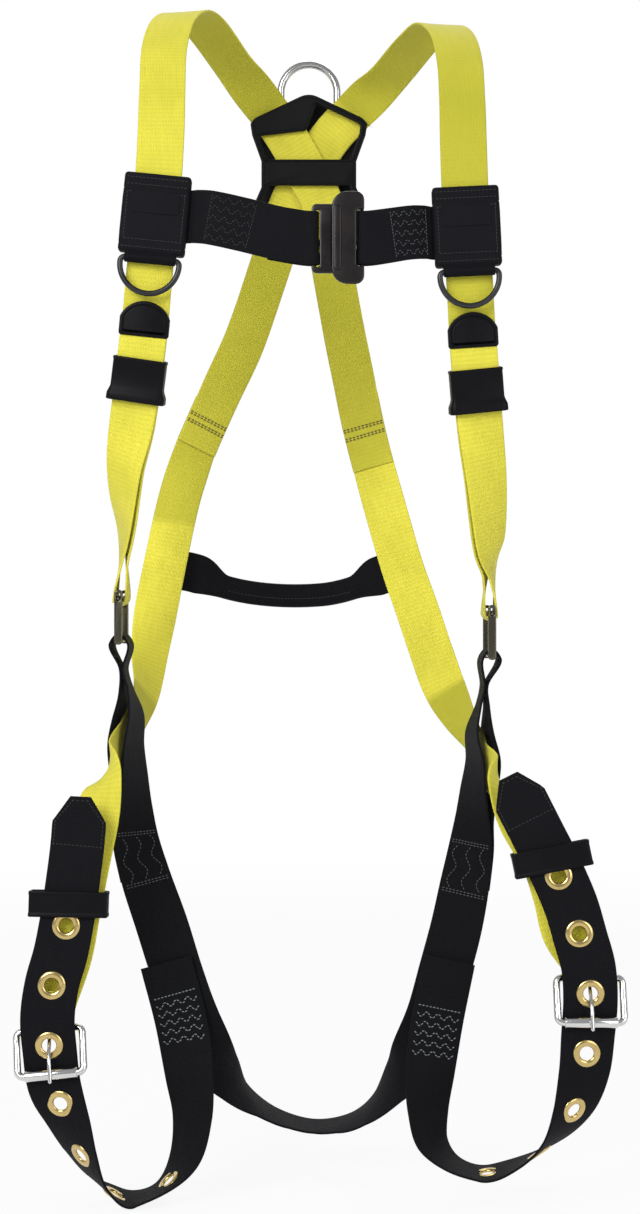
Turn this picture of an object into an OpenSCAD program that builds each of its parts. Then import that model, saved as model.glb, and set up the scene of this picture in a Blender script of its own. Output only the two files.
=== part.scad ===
// Full-body safety harness, kept in the shape that it has on a wearer.
// Millimetres. +Z is up, the wearer faces -Y, and the wearer's right side is at -X.
// The origin lies between the crowns of the two shoulder straps.

/* [Webbing] */
// Width of the main webbing over the shoulders, down the back and to the leg buckles
main_w = 45; // [40:1:50]
// Width of the chest, seat and leg webbing
leg_w = 51; // [45:1:54]
// Thickness of all webbing
web_t = 2.2; // [1.6:0.1:3]
// Free room between two layers of webbing that lie on each other
layer_gap = 0.8; // [0.5:0.1:1.5]
// Distance between the main strap and its tail, which runs down its front
tail_offset = 5; // [4.5:0.5:7]
// Width of the back strap where it is folded into a handle
fold_w = 25; // [20:1:32]

/* [Dorsal pad] */
// Width across the upper corners of the dorsal pad
pad_w = 126; // [120:1:140]
// Width of the dorsal pad at its waist
pad_waist_w = 102; // [98:1:114]
// Height of the dorsal pad from its bottom edge to its peak
pad_h = 165; // [160:1:180]
// Thickness of each of the two plates of the dorsal pad
pad_t = 4; // [3:0.5:5]
// Room for the crossed straps between the two plates
pad_room = 12; // [11:0.5:15]

/* [Rings] */
// Thickness of the dorsal D-ring's bar
dorsal_bar_d = 8; // [7:0.5:10]
// Width between the legs of the dorsal D-ring
dorsal_ring_w = 53; // [48:1:60]
// Height of the dorsal D-ring from its pivot to the top of the opening
dorsal_ring_h = 80; // [72:1:90]
// Thickness of the lanyard rings' bar
lanyard_bar_d = 5.5; // [4.5:0.5:6.5]
// Width between the legs of a lanyard ring
lanyard_ring_w = 51; // [48:1:56]
// Length of the short straight legs of a lanyard ring
lanyard_leg = 5; // [4:0.5:7]

/* [Covers and keepers] */
// Width of a chest cover
cover_w = 64; // [60:1:70]
// Height of a chest cover
cover_h = 76; // [70:1:80]
// Thickness of a chest cover
cover_t = 15; // [14:0.5:18]
// Height of a strap end tab
tab_h = 34; // [30:1:36]
// Height of a tail keeper
keeper_h = 42; // [36:1:44]
// Height of a leg strap keeper
leg_keeper_h = 24; // [20:1:30]
// Wall of the keepers
keeper_wall = 2.2; // [1.6:0.1:2.6]

/* [Buckles] */
// Diameter of the bars of the hip and leg buckles
bar_d = 7; // [6:0.5:7.5]
// Distance between the two bars of a hip buckle
hip_bar_gap = 40; // [38:1:46]
// Distance along the strap between the two bars of a leg buckle
leg_bar_gap = 38; // [36:1:42]
// Outer diameter of the roller on a leg buckle
roller_d = 10; // [9.5:0.25:11]
// Thickness of a leg buckle's tongue
tongue_d = 3.8; // [3:0.2:4]
// Bore of a grommet
grommet_bore_d = 13; // [12.5:0.5:14]
// Flange diameter of a grommet
grommet_d = 25; // [23:1:27]
// Distance between two grommets
grommet_pitch = 57; // [54:1:62]
// Number of grommets in a leg strap
grommet_count = 7; // [3:1:7]
// Height of the long plate of the chest buckle
plate_h = 88; // [84:1:96]
// Width of the long plate of the chest buckle
plate_w = 31; // [29:1:36]
// Height of the slotted frame of the chest buckle
chest_frame_h = 66; // [64:1:72]
// Thickness of the two plates of the chest buckle
plate_t = 4; // [3.5:0.25:5]

/* [Hidden] */
$fn = 48;

YELLOW = "#d6d92e";
BLACK = "#17171a";
STEEL = "#c4c6c8";
BRASS = "#b49a5e";

// Clearances
run_gap = 0.05;        // a pin that turns in a bore
slide_gap = 0.8;       // a keeper that slides over webbing
loop_gap = 1;          // a webbing loop round a bar
part_gap = 0.5;        // pieces that lie beside each other
turn_gap = 0.8;        // a strap that turns back in a slot of the chest buckle

RIGHT = 0;
LEFT = 1;
steps = 5;             // rings of a strap between two route points
lay = web_t + layer_gap;

function side_of(pick, right, left) = pick == RIGHT ? right : left;

// A route is a list of points [place, direction across the strap].
// A frame is [place, across, normal, along], and is right-handed.
function unit(v) = v / norm(v);
function blend(a, b, u) = a + (b - a) * u;
function soft(u) = u * u * (3 - 2 * u);
function point_in(f, p) = f[0] + p.x * f[1] + p.y * f[2] + p.z * f[3];

// Place (c = 0) or width direction (c = 1) of a route's point, and how fast it changes there.
function part_of(r, i, c) = c == 0 ? r[i][0] : unit(r[i][1]);
function slope(r, i, c) =
    let (
        a = max(i - 1, 0), b = min(i + 1, len(r) - 1),
        d = norm(r[i][0] - r[a][0]) + norm(r[b][0] - r[i][0])
    ) (part_of(r, b, c) - part_of(r, a, c)) / d;
function smooth(r, i, u, c) =
    let (d = norm(r[i + 1][0] - r[i][0]))
    (2 * pow(u, 3) - 3 * u * u + 1) * part_of(r, i, c) + (pow(u, 3) - 2 * u * u + u) * d * slope(r, i, c)
        + (3 * u * u - 2 * pow(u, 3)) * part_of(r, i + 1, c)
        + (pow(u, 3) - u * u) * d * slope(r, i + 1, c);

// The frame at place i + u of a route, on a smooth curve through all its points.
function frame_on(r, i, u) =
    let (
        p = r[i][0], q = r[i + 1][0], d = norm(q - p),
        along = unit(6 * (u * u - u) * (p - q) + (3 * u * u - 4 * u + 1) * d * slope(r, i, 0)
            + (3 * u * u - 2 * u) * d * slope(r, i + 1, 0)),
        raw = smooth(r, i, u, 1),
        across = unit(raw - (raw * along) * along)
    ) [smooth(r, i, u, 0), across, cross(along, across), along];

function frame_at(r, x) =
    let (i = min(floor(x), len(r) - 2)) frame_on(r, i, x - i);

function frames(r, n = steps) = concat(
    [for (i = [0:len(r) - 2], j = [0:n - 1]) frame_on(r, i, j / n)],
    [frame_on(r, len(r) - 2, 1)]
);

// The point moved along its frame's normal, as a layer on the first one.
function lifted(r, i, d) = [frame_at(r, i)[0] + d * frame_at(r, i)[2], frame_at(r, i)[1]];

// Arc lengths along a list of frames, and the frame at one of them.
function lengths(f) = [for (i = 0, s = 0; i < len(f);
    s = s + (i + 1 < len(f) ? norm(f[i + 1][0] - f[i][0]) : 0), i = i + 1) s];
function mixed(f, l, s, k) = [for (c = [0:2]) lookup(s, [for (i = [0:len(f) - 1]) [l[i], f[i][k][c]]])];
function frame_along(f, l, s) =
    let (
        along = unit(mixed(f, l, s, 3)), raw = mixed(f, l, s, 1),
        across = unit(raw - (raw * along) * along)
    ) [mixed(f, l, s, 0), across, cross(along, across), along];

module placed(f) {
    multmatrix([
        [f[1].x, f[2].x, f[3].x, f[0].x],
        [f[1].y, f[2].y, f[3].y, f[0].y],
        [f[1].z, f[2].z, f[3].z, f[0].z],
        [0, 0, 0, 1]
    ]) children();
}

// A closed strap swept along frames. Widths and thicknesses are lists as long as the frames.
module swept(f, widths, thicks) {
    n = len(f);
    corners = [[-1, -1], [1, -1], [1, 1], [-1, 1]];
    points = [for (i = [0:n - 1], c = corners)
        f[i][0] + c.x * widths[i] / 2 * f[i][1] + c.y * thicks[i] / 2 * f[i][2]];
    sides = [for (i = [0:n - 2], k = [0:3]) let (a = 4 * i + k, b = 4 * i + (k + 1) % 4)
        each [[a, a + 4, b], [b, a + 4, b + 4]]];
    e = 4 * (n - 1);
    polyhedron(points, concat(sides, [[0, 1, 2], [0, 2, 3], [e, e + 2, e + 1], [e, e + 3, e + 2]]));
}

module strap(r, width) {
    f = frames(r);
    swept(f, [for (i = f) width], [for (i = f) web_t]);
}

// A round bar between two places.
module rod(a, b, r) {
    translate(a) multmatrix(turn_to(unit(b - a))) cylinder(r = r, h = norm(b - a));
}

// A ball that rounds the corner between two bars.
module ball(a, r) {
    translate(a) sphere(r);
}

function turn_to(z) =
    let (s = abs(z.x) < 0.8 ? [1, 0, 0] : [0, 1, 0], x = unit(cross(s, z)), y = cross(z, x))
    [[x.x, y.x, z.x, 0], [x.y, y.y, z.y, 0], [x.z, y.z, z.z, 0], [0, 0, 0, 1]];

// A bar along X, centred.
module bar_x(d, length) {
    rotate([0, 90, 0]) cylinder(d = d, h = length, center = true);
}

// A rectangle with round corners in the XZ plane, extruded along Y and centred.
module slab(w, h, t, r) {
    rotate([90, 0, 0]) linear_extrude(t, center = true) rounded(w, h, r);
}

module rounded(w, h, r) {
    a = w / 2 - r;
    b = h / 2 - r;
    polygon([for (q = [[a, b, 0], [-a, b, 90], [-a, -b, 180], [a, -b, 270]], k = [0:15:90])
        [q.x + r * cos(q.z + k), q.y + r * sin(q.z + k)]]);
}

module box_y(w, h, y0, y1) {
    translate([-w / 2, y0, -h / 2]) cube([w, y1 - y0, h]);
}

// Shoulder straps: tail on the front, round the hip bar, up, over the shoulder, through the pad.
right_hip = [-190, -35, -616];
left_hip = [177, -35, -631];
function hip(pick) = side_of(pick, right_hip, left_hip);
function hip_top(pick) = hip(pick) + [0, 0, hip_bar_gap / 2];
function hip_low(pick) = hip(pick) - [0, 0, hip_bar_gap / 2];
hip_loop_r = bar_d / 2 + loop_gap + web_t / 2;

right_front = [
    [right_hip + [hip_loop_r, 0, hip_bar_gap / 2], [0, 1, 0]],
    [[-184, -42, -560], [-0.12, 0.99, 0]], [[-182, -52, -530], [-0.33, 0.94, 0]],
    [[-182, -64, -498], [-0.6, 0.8, 0]], [[-180, -76, -465], [-0.8, 0.6, 0]],
    [[-173, -88, -425], [-0.97, 0.23, 0]], [[-167, -96, -385], [-1, 0.08, 0]],
    [[-161, -103, -340], [-1, 0.02, 0]], [[-156, -108, -290], [-1, 0, 0]],
    [[-151, -110, -240], [-1, 0, 0]], [[-147, -108, -195], [-1, 0, 0]],
    [[-145, -100, -145], [-1, 0, 0]], [[-145, -86, -102], [-1, 0, 0]],
    [[-145, -62, -55], [-1, 0, 0]], [[-139, -30, -18], [-1, 0.1, 0]],
    [[-127, 2, 0], [-1, 0.3, 0]], [[-110, 40, -4], [-0.8, 0.6, -0.3]],
    [[-83, 90, -30], [-0.6, 0.7, -0.5]], [[-52, 117, -64], [-0.7, 0, -0.7]],
    [[-29, 117, -96], [-0.84, 0, -0.54]], [[-9, 117, -131], [-0.87, 0, -0.49]],
    [[10, 118, -168], [-0.95, 0, -0.31]], [[20, 119, -230], [-0.98, 0, -0.2]],
    [[34, 119, -308], [-0.97, 0, -0.2]], [[44, 115, -358], [-0.97, 0.1, -0.2]],
    [[53, 109, -405], [-0.96, 0.2, -0.2]], [[65, 101, -454], [-0.95, 0.2, -0.25]]
];
left_front = [
    [left_hip + [-hip_loop_r, 0, hip_bar_gap / 2], [0, -1, 0]],
    [[173, -42, -569], [-0.22, -0.98, 0]], [[173, -52, -542], [-0.63, -0.78, 0]],
    [[171, -64, -511], [-0.79, -0.61, 0]], [[168, -76, -476], [-0.89, -0.45, 0]],
    [[163, -88, -435], [-0.97, -0.23, 0]], [[159, -96, -395], [-1, -0.08, 0]],
    [[155, -103, -350], [-1, -0.02, 0]], [[152, -108, -302], [-1, 0, 0]],
    [[149, -110, -252], [-1, 0, 0]], [[147, -108, -205], [-1, 0, 0]],
    [[146, -100, -155], [-1, 0, 0]], [[146, -86, -112], [-1, 0, 0]],
    [[145, -62, -66], [-1, 0, 0]], [[139, -30, -30], [-1, -0.1, 0]],
    [[126, 2, -13], [-1, -0.3, 0]], [[107, 40, -22], [-0.8, -0.7, 0.3]],
    [[79, 92, -43], [-0.58, -0.7, 0.48]], [[48, 118, -67], [-0.7, 0, 0.7]],
    [[20, 122, -96], [-0.78, 0, 0.62]], [[-3, 122, -131], [-0.85, 0, 0.53]],
    [[-24, 123, -168], [-0.92, 0, 0.39]], [[-44, 123, -230], [-0.94, 0, 0.34]],
    [[-73, 119, -316], [-0.92, 0, 0.35]], [[-97, 113, -370], [-0.88, -0.25, 0.38]],
    [[-115, 106, -412], [-0.85, -0.35, 0.38]], [[-124, 102, -434], [-0.85, -0.35, 0.38]]
];
function front(pick) = side_of(pick, right_front, left_front);
tail_top = 7.23;       // route place at which the tail ends
tail_spread = 1.5;     // how much further the tail stands off where it turns round the hip bar
cover_at = 9.25;       // route place of the chest cover's middle
keeper_at = 6;         // route place of the tail keeper's middle

// The tail follows the front of the main strap and meets it round the hip bar.
function tail(pick) = [for (i = [tail_top, 7, 6, 5, 4, 3, 2, 1])
    lifted(front(pick), i, i == 1 ? tail_offset + tail_spread : tail_offset)];
function hip_turn(pick) =
    let (c = hip_top(pick), o = side_of(pick, [-1, 0, 0], [1, 0, 0]), w = front(pick)[0][1])
    [[c + hip_loop_r * o, w], [c - [0, 0, hip_loop_r], w]];
function shoulder_route(pick) = concat(tail(pick), hip_turn(pick), front(pick));

module shoulder_strap(pick) {
    color(YELLOW) strap(shoulder_route(pick), main_w);
}

// Leg straps: from the stitched thigh, down round the thigh, up through the buckle to the tip.
right_leg = [
    [[-143, -69, -952], [0.97, 0, 0.22]], [[-128, -72, -1008], [0.97, 0, 0.22]],
    [[-119, -82, -1062], [0.92, -0.35, 0]], [[-116, -87, -1098], [0.78, -0.62, 0]],
    [[-123, -93, -1136], [0.6, -0.8, 0]], [[-145, -101, -1163], [0.25, -0.95, 0.1]],
    [[-176, -108, -1171], [0, -1, 0]], [[-203, -121, -1152], [0.35, -0.93, 0.1]],
    [[-219, -133, -1119], [0.65, -0.75, 0.2]], [[-230, -142, -1086], [0.88, -0.45, 0.2]],
    [[-241, -148, -1053], [1, -0.05, 0.15]], [[-245, -150, -1021], [1, 0, 0.1]],
    [[-247, -152, -989], [1, 0, 0.02]], [[-243, -152, -958], [1, 0, -0.15]],
    [[-235, -149, -928], [1, 0, -0.2]], [[-229, -147, -896], [1, 0, -0.18]],
    [[-224, -144, -860], [1, 0, -0.12]], [[-220, -140, -823], [1, 0, -0.08]],
    [[-218, -135, -783], [1, 0, -0.05]]
];
left_leg = [
    [[135, -67, -950], [0.96, 0, -0.25]], [[123, -72, -1006], [0.97, 0, -0.2]],
    [[115, -82, -1058], [0.95, 0.3, 0]], [[113, -87, -1092], [0.8, 0.6, 0]],
    [[117, -93, -1121], [0.6, 0.8, 0]], [[136, -101, -1140], [0.25, 0.95, 0]],
    [[167, -108, -1147], [0, 1, 0]], [[202, -120, -1132], [0.3, 0.93, 0]],
    [[230, -132, -1108], [0.6, 0.78, 0]], [[247, -141, -1077], [0.85, 0.5, 0]],
    [[256, -147, -1040], [0.97, 0.2, 0]], [[259, -150, -1005], [1, 0.05, 0]],
    [[261, -152, -972], [1, 0, 0]], [[259, -153, -941], [1, 0, 0.1]],
    [[252, -150, -914], [0.97, 0, 0.25]], [[243, -148, -883], [0.95, 0, 0.3]],
    [[229, -145, -850], [0.93, 0, 0.36]], [[213, -141, -818], [0.92, 0, 0.4]],
    [[186, -132, -764], [0.92, 0, 0.4]]
];
function leg(pick) = side_of(pick, right_leg, left_leg);
leg_buckle_at = [11, 12];   // route point at which each leg buckle sits
leg_keeper_at = [15.36, 16.27];  // route place of each leg keeper
leg_keeper_turn = [-7, 15];    // turn of each leg keeper on the strap, in degrees
tip_length = 24;            // length of the pointed tip

function leg_frame(pick) = frame_at(leg(pick), leg_buckle_at[pick]);
leg_frames = [frames(right_leg), frames(left_leg)];
leg_lengths = [lengths(leg_frames[RIGHT]), lengths(leg_frames[LEFT])];
grommet_over_buckle = 6.5;  // from the buckle's middle to the grommet that its tongue goes through
grommets_above = 2;          // grommets between that one and the tip
function grommet_frame(pick, k) = frame_along(leg_frames[pick], leg_lengths[pick],
    leg_lengths[pick][leg_buckle_at[pick] * steps] + grommet_over_buckle
    + (grommets_above - k) * grommet_pitch);
barrel_wall = 1;             // wall of a grommet's barrel
flange_t = 0.9;              // thickness of a grommet's flange

module leg_strap(pick) {
    tip = frame_at(leg(pick), len(leg(pick)) - 1);
    color(BLACK) difference() {
        strap(leg(pick), leg_w);
        for (k = [0:grommet_count - 1]) placed(grommet_frame(pick, k))
            rotate([90, 0, 0])
                cylinder(d = grommet_bore_d + 2 * barrel_wall, h = 4 * web_t, center = true);
        placed(tip) for (s = [-1, 1]) translate([0, 0, -tip_length / 2]) rotate([90, 0, 0])
            linear_extrude(6 * web_t, center = true) polygon([
                [s * leg_w / 4, tip_length / 2 + 1], [s * leg_w / 2 * 1.1, tip_length / 2 + 1],
                [s * leg_w / 2 * 1.1, -tip_length / 2]
            ]);
    }
}

module grommets(pick) {
    r = grommet_bore_d / 2;
    h = web_t / 2;
    color(BRASS) for (k = [0:grommet_count - 1]) placed(grommet_frame(pick, k))
        rotate([90, 0, 0]) rotate_extrude() polygon([
            [r, -h - flange_t], [grommet_d / 2, -h - flange_t / 2], [grommet_d / 2, -h],
            [r + barrel_wall, -h], [r + barrel_wall, h], [grommet_d / 2, h],
            [grommet_d / 2, h + flange_t / 2], [r, h + flange_t]
        ]);
}

// Leg buckles. Local X runs across the strap, -Y to the outside and Z up along the strap.
buckle_room = 2;             // between the webbing's edge and a leg buckle's side bar
eye_wall = 2.4;              // wall of the tongue's eye
leg_half_w = leg_w / 2 + buckle_room + bar_d / 2;
front_bar = [0, -(web_t / 2 + flange_t + part_gap + roller_d / 2), -leg_bar_gap / 2];
rear_loop_r = bar_d / 2 + loop_gap + web_t / 2;
tongue_eye_r = bar_d / 2 + run_gap + eye_wall;
rear_deep = max(tongue_eye_r, rear_loop_r + web_t / 2);
rear_bar = [0, web_t / 2 + flange_t + 2 * part_gap + rear_deep, leg_bar_gap / 2];

leg_corner_r = 5.5;          // bend of a leg buckle's corners, at the middle of the bar

// A closed frame of round bar with bent corners, in the XZ plane.
module bent_frame(a, b, r, d) {
    for (s = [-1, 1]) {
        translate([0, 0, s * b]) bar_x(d, 2 * (a - r));
        translate([s * a, 0, 0]) cylinder(d = d, h = 2 * (b - r), center = true);
    }
    for (q = [[1, 1, 0], [-1, 1, 90], [-1, -1, 180], [1, -1, 270]])
        translate([q.x * (a - r), 0, q.y * (b - r)]) rotate([90, 0, 0]) rotate([0, 0, q.z])
            rotate_extrude(angle = 90) translate([r, 0]) circle(d = d);
}

module leg_buckle(pick) {
    reach = rear_bar - front_bar;
    color(STEEL) placed(leg_frame(pick)) translate((front_bar + rear_bar) / 2)
        rotate([-atan2(reach.y, reach.z), 0, 0])
            bent_frame(leg_half_w, norm(reach) / 2, leg_corner_r, bar_d);
}

roller_short = 2;            // how much shorter a roller is than the webbing is wide
module leg_buckle_roller(pick) {
    color(STEEL) placed(leg_frame(pick)) translate(front_bar) difference() {
        bar_x(roller_d, leg_w - roller_short);
        bar_x(bar_d + 2 * run_gap, leg_w);
    }
}

tongue_w = 7;                // width of the tongue's eye
tongue_over = 4;             // how far the tongue reaches past the roller's middle
bead = 0.1;                  // how far the tongue's rounded bend and tip stand out
pin_start = [0, 5.3, -4.9];  // where the tongue's pin starts in the eye's wall, from the eye's outer side
knee_out = 2;                // how far the tongue's bend stands out from the front bar
knee_under = 9;              // how far the bend lies under the grommet's middle
tip_room = 1.4;              // room between the roller and the tongue's tip, with part_gap
module leg_buckle_tongue(pick) {
    r = tongue_d / 2;
    eye = rear_bar + [0, -tongue_eye_r, 0] + pin_start;
    knee = [0, front_bar.y - knee_out, grommet_over_buckle - knee_under];
    tip = front_bar + [0, -roller_d / 2 - r - part_gap - tip_room, -tongue_over];
    color(STEEL) placed(leg_frame(pick)) difference() {
        union() {
            translate(rear_bar) bar_x(2 * tongue_eye_r, tongue_w);
            rod(eye, knee, r);
            rod(knee, tip, r);
            ball(knee, r + bead);
            ball(tip, r + bead);
        }
        translate(rear_bar) bar_x(bar_d + 2 * run_gap, 2 * tongue_w);
    }
}

// Leg keeper: a loop round the leg strap and the seat strap behind it.
keeper_depth = 17;           // from the leg strap to the inside of the keeper's back
keeper_in = 8;               // how far the keeper's opening stands out beside the strap, inside
keeper_out = 11;             // and outside
module leg_keeper(pick) {
    w = leg_w + keeper_in + keeper_out;
    shift = side_of(pick, -1, 1) * (keeper_out - keeper_in) / 2;
    y0 = -web_t / 2 - flange_t - slide_gap;
    color(BLACK) placed(frame_at(leg(pick), leg_keeper_at[pick]))
        rotate([0, leg_keeper_turn[pick], 0]) translate([shift, 0, 0]) difference() {
            box_y(w + 2 * keeper_wall, leg_keeper_h, y0 - keeper_wall, keeper_depth + keeper_wall);
            box_y(w, leg_keeper_h + 2, y0, keeper_depth);
        }
}

// Seat straps: from the seam on the back, through the hip ring, to the leg buckle's rear bar.
seam_at = [24.4, 25.2, 26];    // places on the shoulder straps where the seat straps are sewn on
right_seat = concat([for (k = seam_at) lifted(left_front, k, lay)], [
    [[-141, 96, -485], [-0.92, 0, 0.32]],
    [[-153, 80, -544], [-0.97, 0, 0.2]], [[-163, 63, -602], [-0.96, -0.2, 0.15]],
    [[-169, 47, -648], [-0.8, -0.55, 0.2]], [[-171, 25, -688], [-0.5, -0.75, 0.45]],
    [[-177, -2, -713], [-0.25, -0.8, 0.55]], [[-184, -35, -734], [-0.25, -0.8, 0.55]],
    [[-194, -69, -753], [-0.2, -0.8, 0.55]], [[-200, -97, -773], [0.75, -0.45, 0.35]],
    [[-207, -114, -811], [0.97, -0.1, -0.1]], [[-214, -127, -848], [1, 0, -0.12]],
    [[-221, -135, -888], [1, 0, -0.15]], [[-229, -139, -932], [1, 0, -0.18]]
]);
left_seat = concat([for (k = seam_at) lifted(right_front, k, lay)], [
    [[81, 90, -512], [-0.95, 0, -0.28]], [[95, 77, -562], [-0.95, 0, -0.28]],
    [[110, 63, -607], [-0.95, 0, -0.3]], [[125, 48, -654], [-0.95, 0, -0.3]],
    [[136, 34, -686], [-0.9, 0.3, -0.35]], [[150, 14, -714], [-0.6, 0.65, -0.5]],
    [[166, -10, -741], [-0.15, 0.8, -0.55]], [[169, -40, -758], [-0.2, 0.8, -0.55]],
    [[179, -72, -769], [-0.2, 0.8, -0.55]], [[187, -99, -782], [0.75, 0.45, -0.3]],
    [[202, -121, -811], [0.93, 0.05, 0.3]], [[221, -133, -845], [0.93, 0, 0.36]],
    [[232, -136, -879], [0.93, 0, 0.36]], [[240, -139, -911], [0.95, 0, 0.3]]
]);
function seat(pick) = side_of(pick, right_seat, left_seat);

// The seat strap's end turns round the rear bar and comes up again before it.
function seat_turn(pick) =
    let (f = leg_frame(pick), r = rear_loop_r, i = leg_buckle_at[pick], near = rear_bar.y - r)
    concat(
        [lifted(leg(pick), i + 1.1, near + 2 * r)],
        [for (p = [[0, r, 0], [0, 0, -r], [0, -r, 0]]) [point_in(f, rear_bar + p), f[1]]],
        [for (k = [1.1, 1.8]) lifted(leg(pick), i + k, near)]
    );
function seat_route(pick) = concat(seat(pick), seat_turn(pick));

notch_room = 2;              // how much larger the seat strap's notch is than the tongue's eye
module seat_strap(pick) {
    color(YELLOW) difference() {
        strap(seat_route(pick), main_w);
        placed(leg_frame(pick)) translate(rear_bar)
            cube(
                [tongue_w + notch_room, 4 * tongue_eye_r, 2 * (tongue_eye_r + notch_room)],
                center = true
            );
    }
}

// Sub-pelvic strap: sewn end, up to the hip bar, down the thigh, under the seat, and back alike.
drop_w = 18;                 // width of its loop on the lower bar of a hip buckle
drop_down = 6;               // from that bar down to where the loop is widest
function drop_side(pick, s) = hip_low(pick) + [s * drop_w / 2, 0, -drop_down];
right_thigh = [
    [drop_side(RIGHT, 1), [0, 1, 0]],
    [[-186, -37, -666], [0, 1, 0]], [[-181, -38, -685], [0, 1, 0]],
    [[-175, -39, -712], [0.2, 0.98, 0]], [[-177, -41, -742], [0.3, 0.95, 0]],
    [[-176, -43, -772], [0.42, 0.9, 0]], [[-176, -44, -802], [0.6, 0.8, 0]],
    [[-174, -45, -835], [0.8, 0.6, 0.1]], [[-165, -48, -870], [0.9, 0.4, 0.2]],
    [[-148, -56, -917], [0.95, 0.2, 0.3]], [[-132, -65, -964], [0.95, 0, 0.3]],
    [[-114, -66, -1013], [0.93, 0.05, 0.36]], [[-99, -62, -1044], [0.77, 0.45, 0.45]],
    [[-82, -46, -1070], [0.45, 0.85, 0.3]], [[-61, -26, -1097], [0.1, 1, 0.05]],
    [[-32, -4, -1121], [0, 1, 0]], [[2, 6, -1133], [0, 1, 0]]
];
left_thigh = [
    [drop_side(LEFT, -1), [0, 1, 0]],
    [[170, -37, -682], [0, 1, 0]], [[166, -38, -701], [0, 1, 0]],
    [[159, -40, -729], [-0.15, 0.98, 0]], [[162, -42, -758], [-0.28, 0.96, 0]],
    [[160, -43, -787], [-0.42, 0.9, 0]], [[159, -44, -815], [-0.6, 0.8, 0]],
    [[157, -45, -845], [-0.8, 0.6, 0.1]], [[151, -48, -880], [-0.9, 0.4, 0.2]],
    [[142, -56, -921], [-0.95, 0.2, 0.25]], [[130, -63, -963], [-0.95, 0, 0.28]],
    [[116, -66, -1010], [-0.93, 0.05, 0.35]], [[100, -61, -1045], [-0.77, 0.45, 0.45]],
    [[82, -46, -1074], [-0.4, 0.87, 0.25]], [[59, -24, -1106], [-0.1, 1, 0.05]],
    [[34, -4, -1126], [0, 1, 0]]
];
// Distance between the two layers: sewn above and below the ring that the seat strap goes through.
ring_open = [0, lay, 8, 16, 17, 13, 6, lay, lay];
sewn_points = 8;

function reversed(r) = [for (i = [len(r) - 1:-1:0]) r[i]];
// The layer on the other side of the hip ring, from its sewn end up to the bar.
function back_layer(r, s) = [for (i = [sewn_points:-1:1]) lifted(r, i, s * ring_open[i])];
function low_turn(pick) =
    [[drop_side(pick, side_of(pick, -1, 1)), [0, 1, 0]],
     [hip_low(pick) + [0, 0, hip_loop_r], [0, 1, 0]]];
pelvic_route = concat(
    back_layer(right_thigh, -1), low_turn(RIGHT), right_thigh,
    reversed(left_thigh), reversed(low_turn(LEFT)), reversed(back_layer(left_thigh, 1))
);

module sub_pelvic_strap() {
    color(BLACK) strap(pelvic_route, leg_w);
}

// Lumbar strap: flat where it is sewn on, folded into a handle between.
lumbar_route = [
    [[-172, 87, -562], [0, 0.1, 1]], [[-148, 88, -564], [0, 0.1, 1]], [[-122, 91, -569], [0, 0.1, 1]],
    [[-92, 97, -583], [0.2, 0, 1]], [[-45, 103, -591], [0, 0, 1]], [[8, 103, -591], [0, 0, 1]],
    [[42, 98, -584], [-0.2, 0, 1]], [[70, 90, -571], [-0.1, 0.1, 1]],
    [[92, 86, -565], [0, 0.1, 1]], [[114, 84, -562], [0, 0.1, 1]]
];
lumbar_fold = [0, 0, 0, 1, 1, 1, 1, 0, 0, 0];  // 1 where the strap is folded double

module lumbar_strap() {
    f = frames(lumbar_route);
    table = [for (k = [0:len(lumbar_fold) - 1]) [k, lumbar_fold[k]]];
    fold = [for (i = [0:len(f) - 1]) lookup(i / steps, table)];
    color(BLACK) swept(f, [for (x = fold) blend(main_w - 3, fold_w, soft(x))],
        [for (x = fold) blend(web_t, 2 * lay, soft(x))]);
}

// Chest straps and buckle.
chest_y = -124;              // middle plane of the slotted frame
buckle_z = -254;             // height of the chest buckle's middle
frame_bar_x = 2;             // bar of the slotted frame, which the right chest strap goes round
plate_bar_x = 48;            // bar of the long plate, which the left chest strap goes round
chest_loop_r = plate_t / 2 + loop_gap + web_t / 2;
chest_return = 40;           // sewn return of each chest strap

// A chest strap's end round a bar at x, coming from the side -s.
function chest_turn(x, s, r) = [
    for (p = [
        [-s * 9, -r, 0.5], [0, -r, 0], [s * r, 0, 0.5], [0, r, 0], [-s * 9, r, 0.5],
        [-s * chest_return, r + 1.5, 6]
    ]) [[x, chest_y, buckle_z] + p, [0, 0, 1]]
];
right_chest = concat(
    [for (p = [[-116, -112.5, -231], [-110, -117, -231.5], [-96, -124, -234], [-66, -127, -241],
        [-34, -128, -249]]) [p, [0.09, 0, 1]]],
    chest_turn(frame_bar_x, 1, chest_loop_r)
);
left_chest = concat(
    [for (p = [[114.5, -112.5, -246.5], [108.5, -117, -246.5], [96, -124, -248], [76, -127, -251]])
        [p, [-0.04, 0, 1]]],
    chest_turn(plate_bar_x, -1, chest_loop_r)
);

module chest_strap(pick) {
    color(BLACK) strap(side_of(pick, right_chest, left_chest), leg_w);
}

slot_room = 3;               // how much longer a slot is than the webbing is wide
plate_bar_d = plate_t - 0.5;  // round bars of the chest buckle, which the straps go round
slot_h = leg_w + slot_room;
slot_w = chest_loop_r + web_t / 2 - plate_t / 2 + turn_gap;
frame_w = 38;                // width of the slotted frame
frame_r = 5;                 // corners of the slotted frame
frame_rim = 12;              // width of the slotted frame's right rim and of its middle rung

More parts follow.
